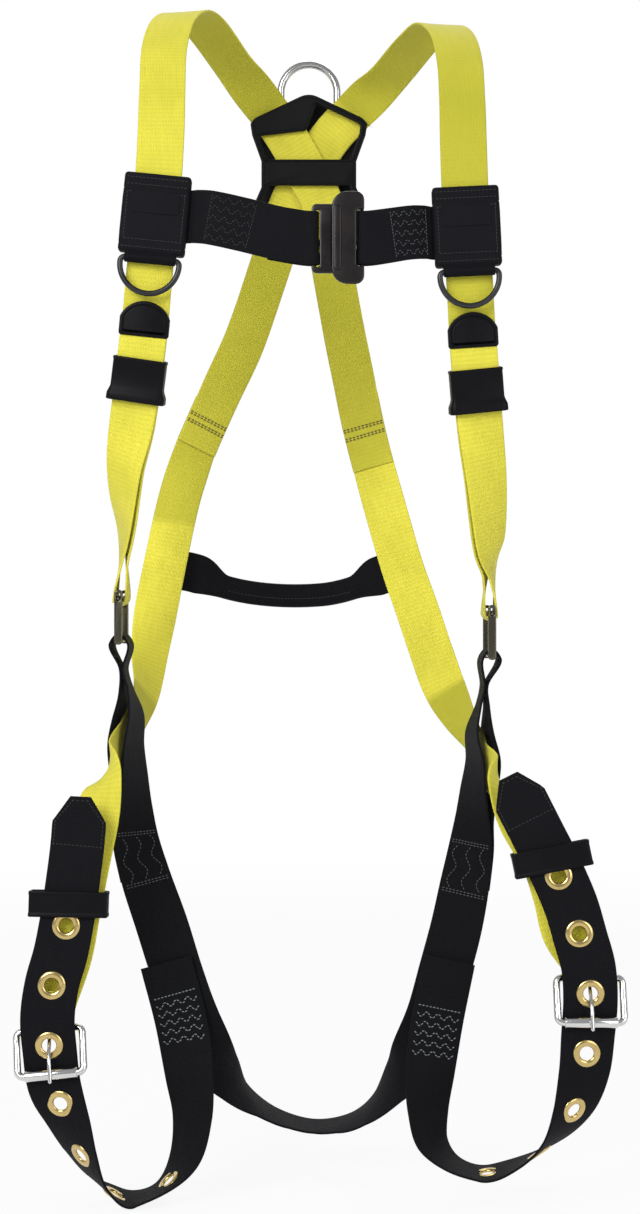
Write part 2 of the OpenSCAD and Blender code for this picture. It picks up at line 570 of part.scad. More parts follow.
// The slotted frame: a bar for the strap, a slot, a rung and a window.
module chest_buckle_frame() {
    edge = plate_t / 2;
    slot_end = edge + slot_w;
    window_end = frame_w - edge - frame_rim;
    color(STEEL) translate([frame_bar_x, chest_y, buckle_z]) {
        difference() {
            translate([frame_w / 2 - edge, 0, 0]) slab(frame_w, chest_frame_h, plate_t, frame_r);
            translate([-plate_t, -plate_t, -slot_h / 2]) cube([slot_end + plate_t, 2 * plate_t, slot_h]);
            translate([slot_end + frame_rim, -plate_t, -slot_h / 2])
                cube([window_end - slot_end - frame_rim, 2 * plate_t, slot_h]);
        }
        cylinder(d = plate_bar_d, h = slot_h + plate_t, center = true);
    }
}

plate_gap = 1.2;             // between the frame and the long plate
plate_rise = plate_t + plate_gap;
plate_r = 12;                // corners of the long plate
cheek_h = 8;                 // height of the cheeks that carry the long plate's bar

// The long plate: a bar at its left edge side and a slot, lying before the slotted frame.
module chest_buckle_plate() {
    color(BLACK) translate([plate_bar_x, chest_y, buckle_z]) difference() {
        union() {
            translate([-plate_w / 2 + plate_t / 2, -plate_rise, 0])
                slab(plate_w, plate_h, plate_t, plate_r);
            for (s = [-1, 1]) translate([-slot_w / 2, -plate_rise / 2, s * (slot_h + cheek_h) / 2])
                cube([slot_w + plate_t, plate_rise + plate_t, cheek_h], center = true);
            cylinder(d = plate_bar_d, h = slot_h + 1.5 * cheek_h, center = true);
        }
        difference() {
            translate([-slot_w / 2 + plate_t, -plate_rise / 2, 0])
                cube([slot_w + 3 * plate_t, 3 * plate_rise, slot_h], center = true);
            cylinder(d = plate_bar_d, h = slot_h + 2, center = true);
        }
    }
}

// Chest covers, with the lanyard rings under them. Local Y points outward and Z up the strap.
loop_d = lanyard_bar_d + 2 * run_gap + 2 * web_t;
cover_back = -6.5;           // outside of the cover's back, behind the main strap
cover_slot = 7;              // depth of the cover's passage for the main strap
cover_room = 2;              // how much wider that passage is than the strap
cover_r = 5;                 // corners of the cover
ring_room = 2;               // how much narrower a ring's loop is than the ring
ring_y = web_t / 2 + part_gap + loop_d / 2;
ring_z = -cover_h / 2 - part_gap - loop_d / 2;
function cover_frame(pick) = frame_at(front(pick), cover_at);

module chest_cover(pick) {
    color(BLACK) placed(cover_frame(pick)) difference() {
        translate([0, cover_t / 2 + cover_back, 0]) slab(cover_w, cover_h, cover_t, cover_r);
        box_y(main_w + cover_room, cover_h + 2, -cover_slot / 2, cover_slot / 2);
    }
}

module ring_loop(pick) {
    color(BLACK) placed(cover_frame(pick)) translate([0, ring_y, ring_z]) difference() {
        bar_x(loop_d, lanyard_ring_w - ring_room);
        bar_x(lanyard_bar_d + 2 * run_gap, lanyard_ring_w);
    }
}

// A ring with a straight bar on top, in the XZ plane, with its pivot at the origin.
module d_ring(bar, width, leg) {
    r = width / 2 + bar / 2;
    rod([-r, 0, 0], [r, 0, 0], bar / 2);
    for (s = [-1, 1]) {
        ball([s * r, 0, 0], bar / 2);
        translate([s * r, 0, -leg]) cylinder(d = bar, h = leg);
    }
    translate([0, 0, -leg]) rotate([90, 0, 0]) rotate([0, 0, 180]) rotate_extrude(angle = 180)
        translate([r, 0]) circle(d = bar);
}

module lanyard_ring(pick) {
    color(BLACK) placed(cover_frame(pick)) translate([0, ring_y, ring_z])
        d_ring(lanyard_bar_d, lanyard_ring_w, lanyard_leg);
}

// End tabs: a dome that caps the tail's end. Local Z points up along the strap.
tab_above = 18;              // height of the tab above the strap's end
tab_pocket = tab_h - tab_above;
tab_gap = 0.5;               // room round the strap in the tab
tab_wall = 1.1;
tab_side = 2;                // how far the dome's radius is above half the tab's width

// A dome with straight sides, with its peak at the origin.
module tab_outline(w) {
    r = w / 2 + tab_side;
    intersection() {
        union() {
            translate([0, -r]) circle(r = r, $fn = 72);
            translate([-r, -r - tab_h]) square([2 * r, tab_h]);
        }
        translate([-w / 2, -tab_h]) square([w, tab_h]);
    }
}

module end_tab(pick) {
    f = frame_at(front(pick), tail_top);
    w = main_w + 2 * tab_gap;
    color(BLACK) placed(f) translate([0, tail_offset, tab_h - tab_pocket]) difference() {
        rotate([90, 0, 0]) linear_extrude(web_t + 2 * (tab_gap + tab_wall), center = true)
            tab_outline(w + 2 * tab_wall);
        translate([0, 0, -tab_h / 2 - (tab_h - tab_pocket) + tab_gap])
            cube([w, web_t + 2 * tab_gap, tab_h], center = true);
    }
}

// Tail keepers: a sleeve round the strap and its tail, with a flared lip below.
lip_h = 11;                  // height of a tail keeper's lip
lip_out = 3;                 // how far the lip stands out at the sides
lip_front = 1.5;             // and at the front
module tail_keeper(pick) {
    w = main_w + 2 * slide_gap;
    y0 = -web_t / 2 - 3 * slide_gap;
    y1 = tail_offset + web_t / 2 + 3 * slide_gap;
    color(BLACK) placed(frame_at(front(pick), keeper_at)) difference() {
        union() {
            box_y(w + 2 * keeper_wall, keeper_h, y0 - keeper_wall, y1 + keeper_wall);
            translate([0, 0, -keeper_h / 2 + lip_h / 2])
                box_y(
                    w + 2 * keeper_wall + 2 * lip_out, lip_h,
                    y0 - keeper_wall, y1 + keeper_wall + lip_front
                );
        }
        box_y(w, keeper_h + 2, y0, y1);
    }
}

// Hip buckles: two side rails joined by the lower bar, with a sliding bar between.
rail_t = 5;                  // thickness of a hip buckle's rail
rail_d = 8;                  // depth of a rail, out from the hip
rail_room = 1.5;             // between the webbing's edge and a rail
rail_in = leg_w / 2 + rail_room;
rail_over = 5;               // from the middle of the outer bars to the ends of a rail
rail_r = 1.5;                // edges of a rail
bar_seat = 0.5;              // how far the lower bar runs into each rail
bar_travel = 4;              // how far the sliding bar moves
pin_d = 3.6;                 // ends of the sliding bar, which run in the rails' slots
module hip_buckle(pick) {
    color(STEEL) translate(hip(pick)) difference() {
        union() {
            for (s = [-1, 1]) translate([0, s * (rail_in + rail_t / 2), bar_travel / 2])
                rotate([0, 0, 90]) slab(rail_t, hip_bar_gap + bar_travel + 2 * rail_over, rail_d, rail_r);
            translate([0, 0, -hip_bar_gap / 2]) rotate([90, 0, 0])
                cylinder(d = bar_d, h = 2 * (rail_in + bar_seat), center = true);
        }
        translate([0, 0, hip_bar_gap / 2]) rotate([90, 0, 0]) for (z = [0, bar_travel])
            translate([0, z, 0]) cylinder(d = pin_d + 2 * run_gap, h = 4 * rail_in, center = true);
        translate([0, 0, hip_bar_gap / 2 + bar_travel / 2])
            cube([pin_d + 2 * run_gap, 4 * rail_in, bar_travel], center = true);
    }
}

module hip_buckle_bar(pick) {
    color(STEEL) translate(hip_top(pick)) rotate([90, 0, 0]) {
        cylinder(d = bar_d, h = 2 * rail_in - 2 * part_gap, center = true);
        cylinder(d = pin_d, h = 2 * (rail_in + rail_t), center = true);
    }
}

// Dorsal pad: two plates with the crossed straps between them.
pad_x = -4;                  // middle of the pad
pad_y = 120;                 // middle of the room between the plates
pad_top = -51;               // peak of the pad
peak_h = 30;                 // from the peak down to the upper corners
waist_z = 74;                // from the peak down to the waist
rim = 7;                     // width of the front plate's rim
back_inset = 2;              // how much smaller the back plate is on each side
band_h = 28;                 // height of the band across the windows
band_up = 2;                 // from half the band's height under the waist up to its middle
corner_in = 6;               // how far an upper corner is cut back
corner_z = 3;                // half the height of that cut
flank_h = 16;                // height of the side under an upper corner
flank_in = 2;                // how far that side leans in
waist_h = 28;                // height of the straight waist
foot_out = 7;                // how far the foot stands out past the waist
foot_z = 16;                 // height of the slope from the waist to the foot
foot_cut = 8;                // cut of the foot's lower corners
flap_peak = [8, -14];        // corners of the flap over the upper window's right half
flap_bend = [-3, -41];
flap_low = 56;               // from the peak down to the flap's outer end

module pad_outline(inset = 0) {
    a = pad_w / 2;
    b = pad_waist_w / 2;
    foot = b + foot_out;
    foot_top = waist_z + waist_h + foot_z;
    half = [
        [a - corner_in, -peak_h + corner_z], [a, -peak_h - corner_z], [a - flank_in, -peak_h - flank_h],
        [b, -waist_z], [b, -waist_z - waist_h], [foot, -foot_top], [foot, -pad_h + foot_cut], [b, -pad_h]
    ];
    offset(delta = -inset)
        polygon(concat([[0, 0]], half, [for (i = [len(half) - 1:-1:0]) [-half[i].x, half[i].y]]));
}

module dorsal_pad() {
    color(BLACK) translate([pad_x, pad_y - pad_room / 2, pad_top]) rotate([90, 0, 0]) difference() {
        linear_extrude(pad_t) pad_outline();
        translate([0, 0, -1]) linear_extrude(pad_t + 2) difference() {
            pad_outline(rim);
            translate([0, -waist_z - band_h / 2 + band_up]) square([2 * pad_w, band_h], center = true);
            polygon([[-pad_w, 0], [0, 0], flap_peak, flap_bend, [-pad_w, -flap_low]]);
        }
    }
}

module dorsal_back_plate() {
    color(BLACK) translate([pad_x, pad_y + pad_room / 2 + pad_t, pad_top]) rotate([90, 0, 0])
        linear_extrude(pad_t) pad_outline(back_inset);
}

// Dorsal ring, standing up behind the pad.
ring_z_mid = -98;            // height of the dorsal ring's bar
ring_back = pad_room / 2 + pad_t + part_gap + dorsal_bar_d / 2 + run_gap + web_t;
ring_pivot = [pad_x, pad_y + ring_back, ring_z_mid];
module dorsal_ring_loop() {
    d = dorsal_bar_d + 2 * run_gap;
    color(BLACK) translate(ring_pivot) difference() {
        bar_x(d + 2 * web_t, dorsal_ring_w - ring_room);
        bar_x(d, dorsal_ring_w);
    }
}

module dorsal_d_ring() {
    leg = dorsal_ring_h - dorsal_ring_w / 2;
    color(STEEL) translate(ring_pivot) rotate([180, 0, 0]) d_ring(dorsal_bar_d, dorsal_ring_w, leg);
}

shoulder_strap(RIGHT);  // right_shoulder_strap
shoulder_strap(LEFT);  // left_shoulder_strap
seat_strap(RIGHT);  // right_seat_strap
seat_strap(LEFT);  // left_seat_strap
sub_pelvic_strap();
leg_strap(RIGHT);  // right_leg_strap
leg_strap(LEFT);  // left_leg_strap
lumbar_strap();
chest_strap(RIGHT);  // right_chest_strap
chest_strap(LEFT);  // left_chest_strap
chest_cover(RIGHT);  // right_chest_cover
chest_cover(LEFT);  // left_chest_cover
ring_loop(RIGHT);  // right_ring_loop
ring_loop(LEFT);  // left_ring_loop
lanyard_ring(RIGHT);  // right_lanyard_ring
lanyard_ring(LEFT);  // left_lanyard_ring
end_tab(RIGHT);  // right_end_tab
end_tab(LEFT);  // left_end_tab
tail_keeper(RIGHT);  // right_tail_keeper
tail_keeper(LEFT);  // left_tail_keeper
dorsal_pad();
dorsal_back_plate();
dorsal_ring_loop();
dorsal_d_ring();
hip_buckle(RIGHT);  // right_hip_buckle
hip_buckle(LEFT);  // left_hip_buckle
hip_buckle_bar(RIGHT);  // right_hip_buckle_bar
hip_buckle_bar(LEFT);  // left_hip_buckle_bar
leg_buckle(RIGHT);  // right_leg_buckle
leg_buckle(LEFT);  // left_leg_buckle
leg_buckle_roller(RIGHT);  // right_leg_buckle_roller
leg_buckle_roller(LEFT);  // left_leg_buckle_roller
leg_buckle_tongue(RIGHT);  // right_leg_buckle_tongue
leg_buckle_tongue(LEFT);  // left_leg_buckle_tongue
leg_keeper(RIGHT);  // right_leg_keeper
leg_keeper(LEFT);  // left_leg_keeper
grommets(RIGHT);  // right_grommets
grommets(LEFT);  // left_grommets
chest_buckle_frame();
chest_buckle_plate();
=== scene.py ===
"""Looks of a full-body safety harness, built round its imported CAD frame.

Lengths are in metres, +Z is up and the wearer faces -Y. The wearer's right side is at -X.
Routes and sizes are written in millimetres and scaled once, by MM.
"""

import logging
from collections.abc import Callable, Sequence
from dataclasses import dataclass, field
from enum import Enum
from functools import cache
from math import acos, atan2, copysign, cos, hypot, pi, radians, sin, tan

import bmesh
import bpy
import numpy as np
from mathutils import Matrix, Vector

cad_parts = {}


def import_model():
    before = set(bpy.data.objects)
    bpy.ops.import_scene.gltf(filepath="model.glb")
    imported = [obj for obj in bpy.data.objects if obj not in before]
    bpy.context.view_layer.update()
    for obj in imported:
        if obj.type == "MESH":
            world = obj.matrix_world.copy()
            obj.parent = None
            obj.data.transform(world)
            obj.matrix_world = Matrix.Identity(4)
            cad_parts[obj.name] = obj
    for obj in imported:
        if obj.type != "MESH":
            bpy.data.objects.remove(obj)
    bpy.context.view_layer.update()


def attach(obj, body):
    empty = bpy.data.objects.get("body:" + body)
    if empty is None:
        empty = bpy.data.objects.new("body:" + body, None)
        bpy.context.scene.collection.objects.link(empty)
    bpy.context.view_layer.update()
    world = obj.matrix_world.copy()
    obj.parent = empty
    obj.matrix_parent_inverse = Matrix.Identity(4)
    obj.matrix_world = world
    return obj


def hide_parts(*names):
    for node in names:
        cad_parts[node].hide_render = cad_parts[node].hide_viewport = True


LOG = logging.getLogger("harness")
MM = 0.001
ROOT = "harness"

Vec = np.ndarray
Mesh = bpy.types.Mesh
Object = bpy.types.Object
Node = bpy.types.Node
Colour = tuple[float, float, float]
Place = tuple[float, float, float]
RoutePoint = tuple[Vec, Vec]
Flat = tuple[float, float]
Outline = Sequence[Flat]
Row = list[tuple[Vec, Vec]]
Tone = Callable[[float, "Face"], float]
Socket = bpy.types.NodeSocket
Inputs = dict[str | int, object]


class Side(Enum):
    """The wearer's sides."""

    RIGHT = "right"
    LEFT = "left"


class Face(Enum):
    """The two faces of a strap."""

    OUTER = 1.0
    INNER = -1.0


class Slot(Enum):
    """Names of material slots."""

    YELLOW = "yellow_webbing"
    BLACK = "black_webbing"
    COVER = "black_cover"
    PAD = "black_pad"
    PLASTIC = "black_plastic"
    BRASS = "brass"
    DARK_STEEL = "dark_steel"
    FORGED_STEEL = "forged_steel"
    BRIGHT_STEEL = "bright_steel"


# Sizes shared by several pieces, in millimetres, as in the part's source.
MAIN_W = 45.0
LEG_W = 51.0
WEB_T = 2.2
LAY = 3.0
TAIL_OFFSET = 5.0
BAR_D = 7.0
LOOP_GAP = 1.0
PART_GAP = 0.5
LOOP_R = BAR_D / 2 + LOOP_GAP + WEB_T / 2
TURN_GAP = 0.05
STITCH_GAP = 0.5
THREAD_LIFT = 0.1

# Largest share of a side that the round of one corner takes.
CORNER_SHARE = 0.48


def vec(*values: float) -> Vec:
    """Returns the values as a vector."""
    return np.array(values, dtype=float)


def unit(v: Vec) -> Vec:
    """Returns the vector at length one."""
    return v / np.linalg.norm(v)


@dataclass(frozen=True)
class Frame:
    """A right-handed place on a strap: across, normal and along are unit vectors, in millimetres."""

    place: Vec
    across: Vec
    normal: Vec
    along: Vec

    def point(self, p: Sequence[float]) -> Vec:
        """Returns the local point p (across, normal, along) in the harness's frame."""
        return self.place + p[0] * self.across + p[1] * self.normal + p[2] * self.along

    def moved(self, p: Sequence[float]) -> "Frame":
        """Returns the same axes with the place at local point p."""
        return Frame(self.point(p), self.across, self.normal, self.along)


def upright(x: float, y: float, z: float) -> Frame:
    """Returns a frame with the harness's own axes at a place."""
    return Frame(vec(x, y, z), vec(1, 0, 0), vec(0, 1, 0), vec(0, 0, 1))


class Route:
    """A smooth curve through places, each with the direction across the strap."""

    def __init__(self, points: Sequence[RoutePoint]) -> None:
        """Keeps the points: places in millimetres, with the direction across."""
        self.points = [(place, unit(across)) for place, across in points]

    def slope(self, i: int, part: int) -> Vec:
        """Measures the change from the point before to the point after.

        Args:
            i: number of the point.
            part: 0 for the place, 1 for the direction across.

        Returns:
            The change per millimetre.
        """
        before, here, after = (self.points[min(max(i + k, 0), len(self.points) - 1)] for k in (-1, 0, 1))
        way = np.linalg.norm(here[0] - before[0]) + np.linalg.norm(after[0] - here[0])
        return (after[part] - before[part]) / way

    def at(self, x: float) -> Frame:
        """Returns the frame at route place x.

        Args:
            x: number of a point, with the part of the way to the next one.

        Returns:
            The frame on the smooth curve.
        """
        i = min(int(x), len(self.points) - 2)
        u = x - i
        (p, a), (q, b) = self.points[i], self.points[i + 1]
        d = np.linalg.norm(q - p)
        (m, k), (turn, next_turn) = ([self.slope(n, part) * d for n in (i, i + 1)] for part in (0, 1))
        start, lead = 2 * u**3 - 3 * u * u + 1, u**3 - 2 * u * u + u
        stop, trail = 3 * u * u - 2 * u**3, u**3 - u * u
        along = unit(6 * (u * u - u) * (p - q) + (3 * u * u - 4 * u + 1) * m + (3 * u * u - 2 * u) * k)
        raw = start * a + lead * turn + stop * b + trail * next_turn
        across = unit(raw - np.dot(raw, along) * along)
        return Frame(start * p + lead * m + stop * q + trail * k, across, np.cross(along, across), along)

    def lifted(self, x: float, d: float) -> RoutePoint:
        """Returns the route point at place x, moved d along its normal."""
        f = self.at(x)
        return f.place + d * f.normal, f.across

    def frames(self, steps: int) -> list[Frame]:
        """Returns frames along the route, steps of them between two points."""
        last = len(self.points) - 1
        return [self.at(k / steps) for k in range(last * steps)] + [self.at(last)]


def table(*rows: Sequence[float]) -> list[RoutePoint]:
    """Returns route points from rows of x, y, z and the direction across."""
    return [(vec(*r[:3]), vec(*r[3:])) for r in rows]


def new_mesh(points: Sequence[Vec], faces: Sequence[Sequence[int]]) -> Mesh:
    """Makes a smooth-shaded mesh.

    Args:
        points: corners in millimetres.
        faces: corner numbers, counter-clockwise from outside.

    Returns:
        The mesh, in metres.
    """
    mesh = bpy.data.meshes.new("piece")
    mesh.from_pydata([tuple(p * MM) for p in np.asarray(points)], [], [tuple(f) for f in faces])
    mesh.update()
    mesh.shade_smooth()
    return mesh


def sharpen(mesh: Mesh, degrees: float) -> None:
    """Shades the edges that bend by more than an angle as sharp."""
    mesh.set_sharp_from_angle(angle=radians(degrees))


def new_object(name: str, data: bpy.types.ID) -> Object:
    """Returns a new object in the scene that holds the data."""
    bpy.context.scene.collection.objects.link(obj := bpy.data.objects.new(name, data))
    return obj


def baked(obj: Object) -> Object:
    """Turns an object with its modifiers into a plain mesh object of the same name.

    Args:
        obj: object that is evaluated and removed.

    Returns:
        The new object.
    """
    name = obj.name
    graph = bpy.context.evaluated_depsgraph_get()
    mesh = bpy.data.meshes.new_from_object(obj.evaluated_get(graph), depsgraph=graph)
    bpy.data.objects.remove(obj)
    mesh.name = name
    return new_object(name, mesh)


def merged(meshes: Sequence[Mesh], sharp: float = 0.0) -> Mesh:
    """Joins meshes into one.

    Args:
        meshes: meshes that are joined and removed.
        sharp: angle in degrees from which edges are sharp, or 0 for none.

    Returns:
        The joined mesh.
    """
    bm = bmesh.new()
    for part in meshes:
        bm.from_mesh(part)
        bpy.data.meshes.remove(part)
    mesh = bpy.data.meshes.new("piece")
    bm.to_mesh(mesh)
    bm.free()
    mesh.shade_smooth()
    if sharp:
        sharpen(mesh, sharp)
    return mesh


def lofted(loops: Sequence[Sequence[Vec]], closed: bool = False) -> Mesh:
    """Skins loops of equally many points.

    Args:
        loops: rings, counter-clockwise seen from the last one.
        closed: True joins the last ring to the first, False caps both ends.

    Returns:
        The mesh.
    """
    n, count = len(loops[0]), len(loops)
    points = [p for loop in loops for p in loop]
    faces: list[tuple[int, ...]] = []
    for i in range(count if closed else count - 1):
        j = (i + 1) % count
        faces += [(i * n + k, i * n + (k + 1) % n, j * n + (k + 1) % n, j * n + k) for k in range(n)]
    if not closed:
        faces.append(tuple(range(n))[::-1])
        faces.append(tuple((count - 1) * n + k for k in range(n)))
    return new_mesh(points, faces)


def tube(path: Sequence[Vec], radius: float, closed: bool, sides: int = 20) -> Mesh:
    """Sweeps a round bar along a path.

    Args:
        path: places in millimetres, without a repeat of the first one.
        radius: radius of the bar.
        closed: True for an endless ring.
        sides: points round the bar.

    Returns:
        The mesh, with rounded ends where it is open.
    """
    count = len(path)
    loops: list[list[Vec]] = []
    side = None
    for i, p in enumerate(path):
        ahead = path[(i + 1) % count] if closed else path[min(i + 1, count - 1)]
        behind = path[i - 1] if closed else path[max(i - 1, 0)]
        t = unit(ahead - behind)
        if side is None:
            side = np.cross(t, vec(0.31, 0.52, 0.79))
        side = unit(side - np.dot(side, t) * t)
        up = np.cross(t, side)
        turn = [2 * pi * k / sides for k in range(sides)]
        loops.append([p + radius * (cos(a) * side + sin(a) * up) for a in turn])
    if closed:
        # The last ring is turned to meet the first one.
        first = loops[0][0]
        near = min(range(sides), key=lambda k: float(np.linalg.norm(loops[-1][k] - first)))
        share = [round(near * i / (count - 1)) for i in range(count)]
        loops = [loop[s:] + loop[:s] for loop, s in zip(loops, share)]
    else:
        loops = rounded_ends(loops, path, radius)
    return lofted(loops, closed)


def rounded_ends(loops: list[list[Vec]], path: Sequence[Vec], radius: float) -> list[list[Vec]]:
    """Adds domes to the first and the last ring of a bar.

    Args:
        loops: rings of the bar.
        path: middles of the rings.
        radius: radius of the bar.

    Returns:
        The rings with the domes' rings before and after.
    """
    turns = [radians(a) for a in (25, 48, 68, 82)]
    domes = []
    for loop, middle, before in ((loops[0], path[0], path[1]), (loops[-1], path[-1], path[-2])):
        out = unit(middle - before) * radius
        domes.append([
            [middle + out * sin(a) + (p - middle) * cos(a) for p in loop] for a in turns
        ])
    return domes[0][::-1] + loops + domes[1]


def fillet(corners: Outline, radii: float | Sequence[float], steps: int = 6) -> list[Flat]:
    """Rounds the corners of a flat outline.

    Args:
        corners: outline in millimetres.
        radii: one radius, or one for each corner.
        steps: pieces of each round.

    Returns:
        The outline with rounds.
    """
    n = len(corners)
    sizes = [radii] * n if isinstance(radii, (int, float)) else list(radii)
    out: list[Flat] = []
    for i in range(n):
        p, q, r = (vec(*corners[(i + k) % n]) for k in (-1, 0, 1))
        a, b = unit(p - q), unit(r - q)
        half = acos(max(-1.0, min(1.0, float(np.dot(a, b))))) / 2
        room = CORNER_SHARE * min(np.linalg.norm(p - q), np.linalg.norm(r - q))
        cut = min(sizes[i] / tan(half), room)
        radius = cut * tan(half)
        middle = q + unit(a + b) * radius / sin(half)
        start, stop = q + a * cut - middle, q + b * cut - middle
        sweep = atan2(start[0] * stop[1] - start[1] * stop[0], float(np.dot(start, stop)))
        for k in range(steps + 1):
            c, s = cos(sweep * k / steps), sin(sweep * k / steps)
            x, y = middle + c * start + s * vec(-start[1], start[0])
            out.append((x, y))
    return out


def rectangle(w: float, h: float, x: float = 0.0, y: float = 0.0) -> list[Flat]:
    """Returns the corners of a rectangle round a middle, counter-clockwise."""
    a, b = w / 2, h / 2
    return [(x - a, y - b), (x + a, y - b), (x + a, y + b), (x - a, y + b)]


def plate(outlines: Sequence[Outline], thickness: float, edge: float, frame: Frame) -> Mesh:
    """Makes a flat plate with rounded edges and holes.

    The outlines lie in the frame's across and along directions, and the frame in mid-thickness.

    Args:
        outlines: outer outline, then holes, in millimetres.
        thickness: thickness of the plate.
        edge: radius of its edges.
        frame: place of the plate.

    Returns:
        The mesh, in place.
    """
    curve = bpy.data.curves.new("plate", "CURVE")
    curve.dimensions, curve.fill_mode = "2D", "BOTH"
    curve.extrude, curve.bevel_depth = (thickness / 2 - edge) * MM, edge * MM
    curve.offset, curve.bevel_resolution = -edge * MM, 3
    for outline in outlines:
        spline = curve.splines.new("POLY")
        spline.points.add(len(outline) - 1)
        spline.use_cyclic_u = True
        for point, (x, y) in zip(spline.points, outline):
            point.co = (x * MM, y * MM, 0, 1)
    obj = baked(new_object("plate", curve))
    mesh = obj.data
    bpy.data.objects.remove(obj)
    bpy.data.curves.remove(curve)
    bm = bmesh.new()
    bm.from_mesh(mesh)
    bmesh.ops.remove_doubles(bm, verts=bm.verts, dist=1e-6)
    for v in bm.verts:
        x, y, z = (c / MM for c in v.co)
        v.co = Vector(frame.point((x, -z, y)) * MM)
    bmesh.ops.recalc_face_normals(bm, faces=bm.faces)
    bm.to_mesh(mesh)
    bm.free()
    mesh.shade_smooth()
    sharpen(mesh, 40)
    return mesh


def sleeve(outer: Sequence[tuple[float, Outline]], inner: Sequence[tuple[float, Outline]],
           frame: Frame, sharp: float) -> Mesh:
    """Makes a tube with walls that straps pass through.

    Args:
        outer: (height, outline) of the outside from below to above.
        inner: (height, outline) of the inside from above to below.
        frame: place of the sleeve. Outlines lie across and along its normal, heights along it.
        sharp: angle in degrees from which edges are sharp.

    Returns:
        The closed mesh.
    """
    loops = [[frame.point((x, y, z)) for x, y in outline] for z, outline in (*outer, *inner)]
    mesh = lofted(loops, closed=True)
    sharpen(mesh, sharp)
    return mesh


def inset(outline: Outline, d: float) -> list[Flat]:
    """Draws an outline in, point by point.

    Args:
        outline: counter-clockwise outline in millimetres.
        d: how far it is drawn in.

    Returns:
        The smaller outline.
    """
    out = []
    for i, q in enumerate(outline):
        p, r = outline[i - 1], outline[(i + 1) % len(outline)]
        a, b = unit(vec(q[0] - p[0], q[1] - p[1])), unit(vec(r[0] - q[0], r[1] - q[1]))
        inward = unit(vec(-a[1] - b[1], a[0] + b[0]))
        reach = d / max(float(np.dot(inward, vec(-b[1], b[0]))), 0.5)
        out.append((q[0] + reach * inward[0], q[1] + reach * inward[1]))
    return out


def moulding(outline: Outline, layers: Outline, frame: Frame) -> Mesh:
    """Makes a flat moulding from layers of one outline.

    Args:
        outline: counter-clockwise (across, along) outline in millimetres.
        layers: from back to front, how far each layer is drawn in and its height along the normal.
        frame: place of the moulding.

    Returns:
        The mesh, in place.
    """
    loops = [[frame.point((x, h, z)) for x, z in inset(outline, d)] for d, h in layers]
    mesh = lofted([loop[::-1] for loop in loops])
    sharpen(mesh, 40)
    return mesh


class NodeTree:
    """Short calls for building node trees."""

    def __init__(self, tree: bpy.types.NodeTree) -> None:
        """Keeps the tree that nodes are added to."""
        self.tree = tree

    def fill(self, node: Node, inputs: Inputs) -> None:
        """Sets a node's inputs.

        Args:
            node: node of the tree.
            inputs: socket names or numbers, with a value or with another node's output.
        """
        for key, value in inputs.items():
            if isinstance(value, Socket):
                self.tree.links.new(value, node.inputs[key])
            else:
                node.inputs[key].default_value = value

    def add(self, kind: str, inputs: Inputs | None = None, **settings: object) -> Node:
        """Adds a node.

        Args:
            kind: node type.
            inputs: inputs, as fill takes them.
            settings: properties of the node.

        Returns:
            The node.
        """
        node = self.tree.nodes.new(kind)
        for key, value in settings.items():
            setattr(node, key, value)
        self.fill(node, inputs or {})
        return node

    def out(self, kind: str, inputs: Inputs | None = None, **settings: object) -> Socket:
        """Adds a node and returns its first output."""
        return self.add(kind, inputs, **settings).outputs[0]

    def math(self, operation: str, *values: object) -> Socket:
        """Returns the output of a math node."""
        return self.out("ShaderNodeMath", dict(enumerate(values)), operation=operation)

    def mix(self, share: object, a: object, b: object) -> Socket:
        """Returns colour a mixed with colour b by a share."""
        return self.add("ShaderNodeMix", {0: share, 6: a, 7: b}, data_type="RGBA").outputs[2]

    def span(self, value: object, low: float, high: float, start: float = 0.0, stop: float = 1.0,
             **settings: object) -> Socket:
        """Returns a value of start to stop mapped to low to high."""
        return self.out("ShaderNodeMapRange", {0: value, 1: start, 2: stop, 3: low, 4: high}, **settings)

    def bump(self, height: Socket, depth_mm: float) -> Socket:
        """Returns the normal for a height at a depth in millimetres."""
        return self.out("ShaderNodeBump", {"Height": height, "Distance": depth_mm * MM, "Strength": 1.0})


WHITE = (1.0, 1.0, 1.0, 1.0)


def rgba(colour: Colour) -> tuple[float, float, float, float]:
    """Returns a colour with full alpha."""
    return (*colour, 1.0)


def shader_group(name: str, inputs: dict[str, float | None],
                 outputs: Sequence[str]) -> tuple[NodeTree, bpy.types.NodeOutputs, Node]:
    """Makes an empty shader group.

    Args:
        name: name of the group.
        inputs: socket names with their first value, or with None for a vector.
        outputs: names of the value outputs.

    Returns:
        The tree, the sockets of its input node, and its output node.
    """
    group = bpy.data.node_groups.new(name, "ShaderNodeTree")
    for key, value in inputs.items():
        kind = "NodeSocketVector" if value is None else "NodeSocketFloat"
        socket = group.interface.new_socket(name=key, in_out="INPUT", socket_type=kind)
        if value is not None:
            socket.default_value = value
    for key in outputs:
        group.interface.new_socket(name=key, in_out="OUTPUT", socket_type="NodeSocketFloat")
    tree = NodeTree(group)
    return tree, tree.add("NodeGroupInput").outputs, tree.add("NodeGroupOutput")


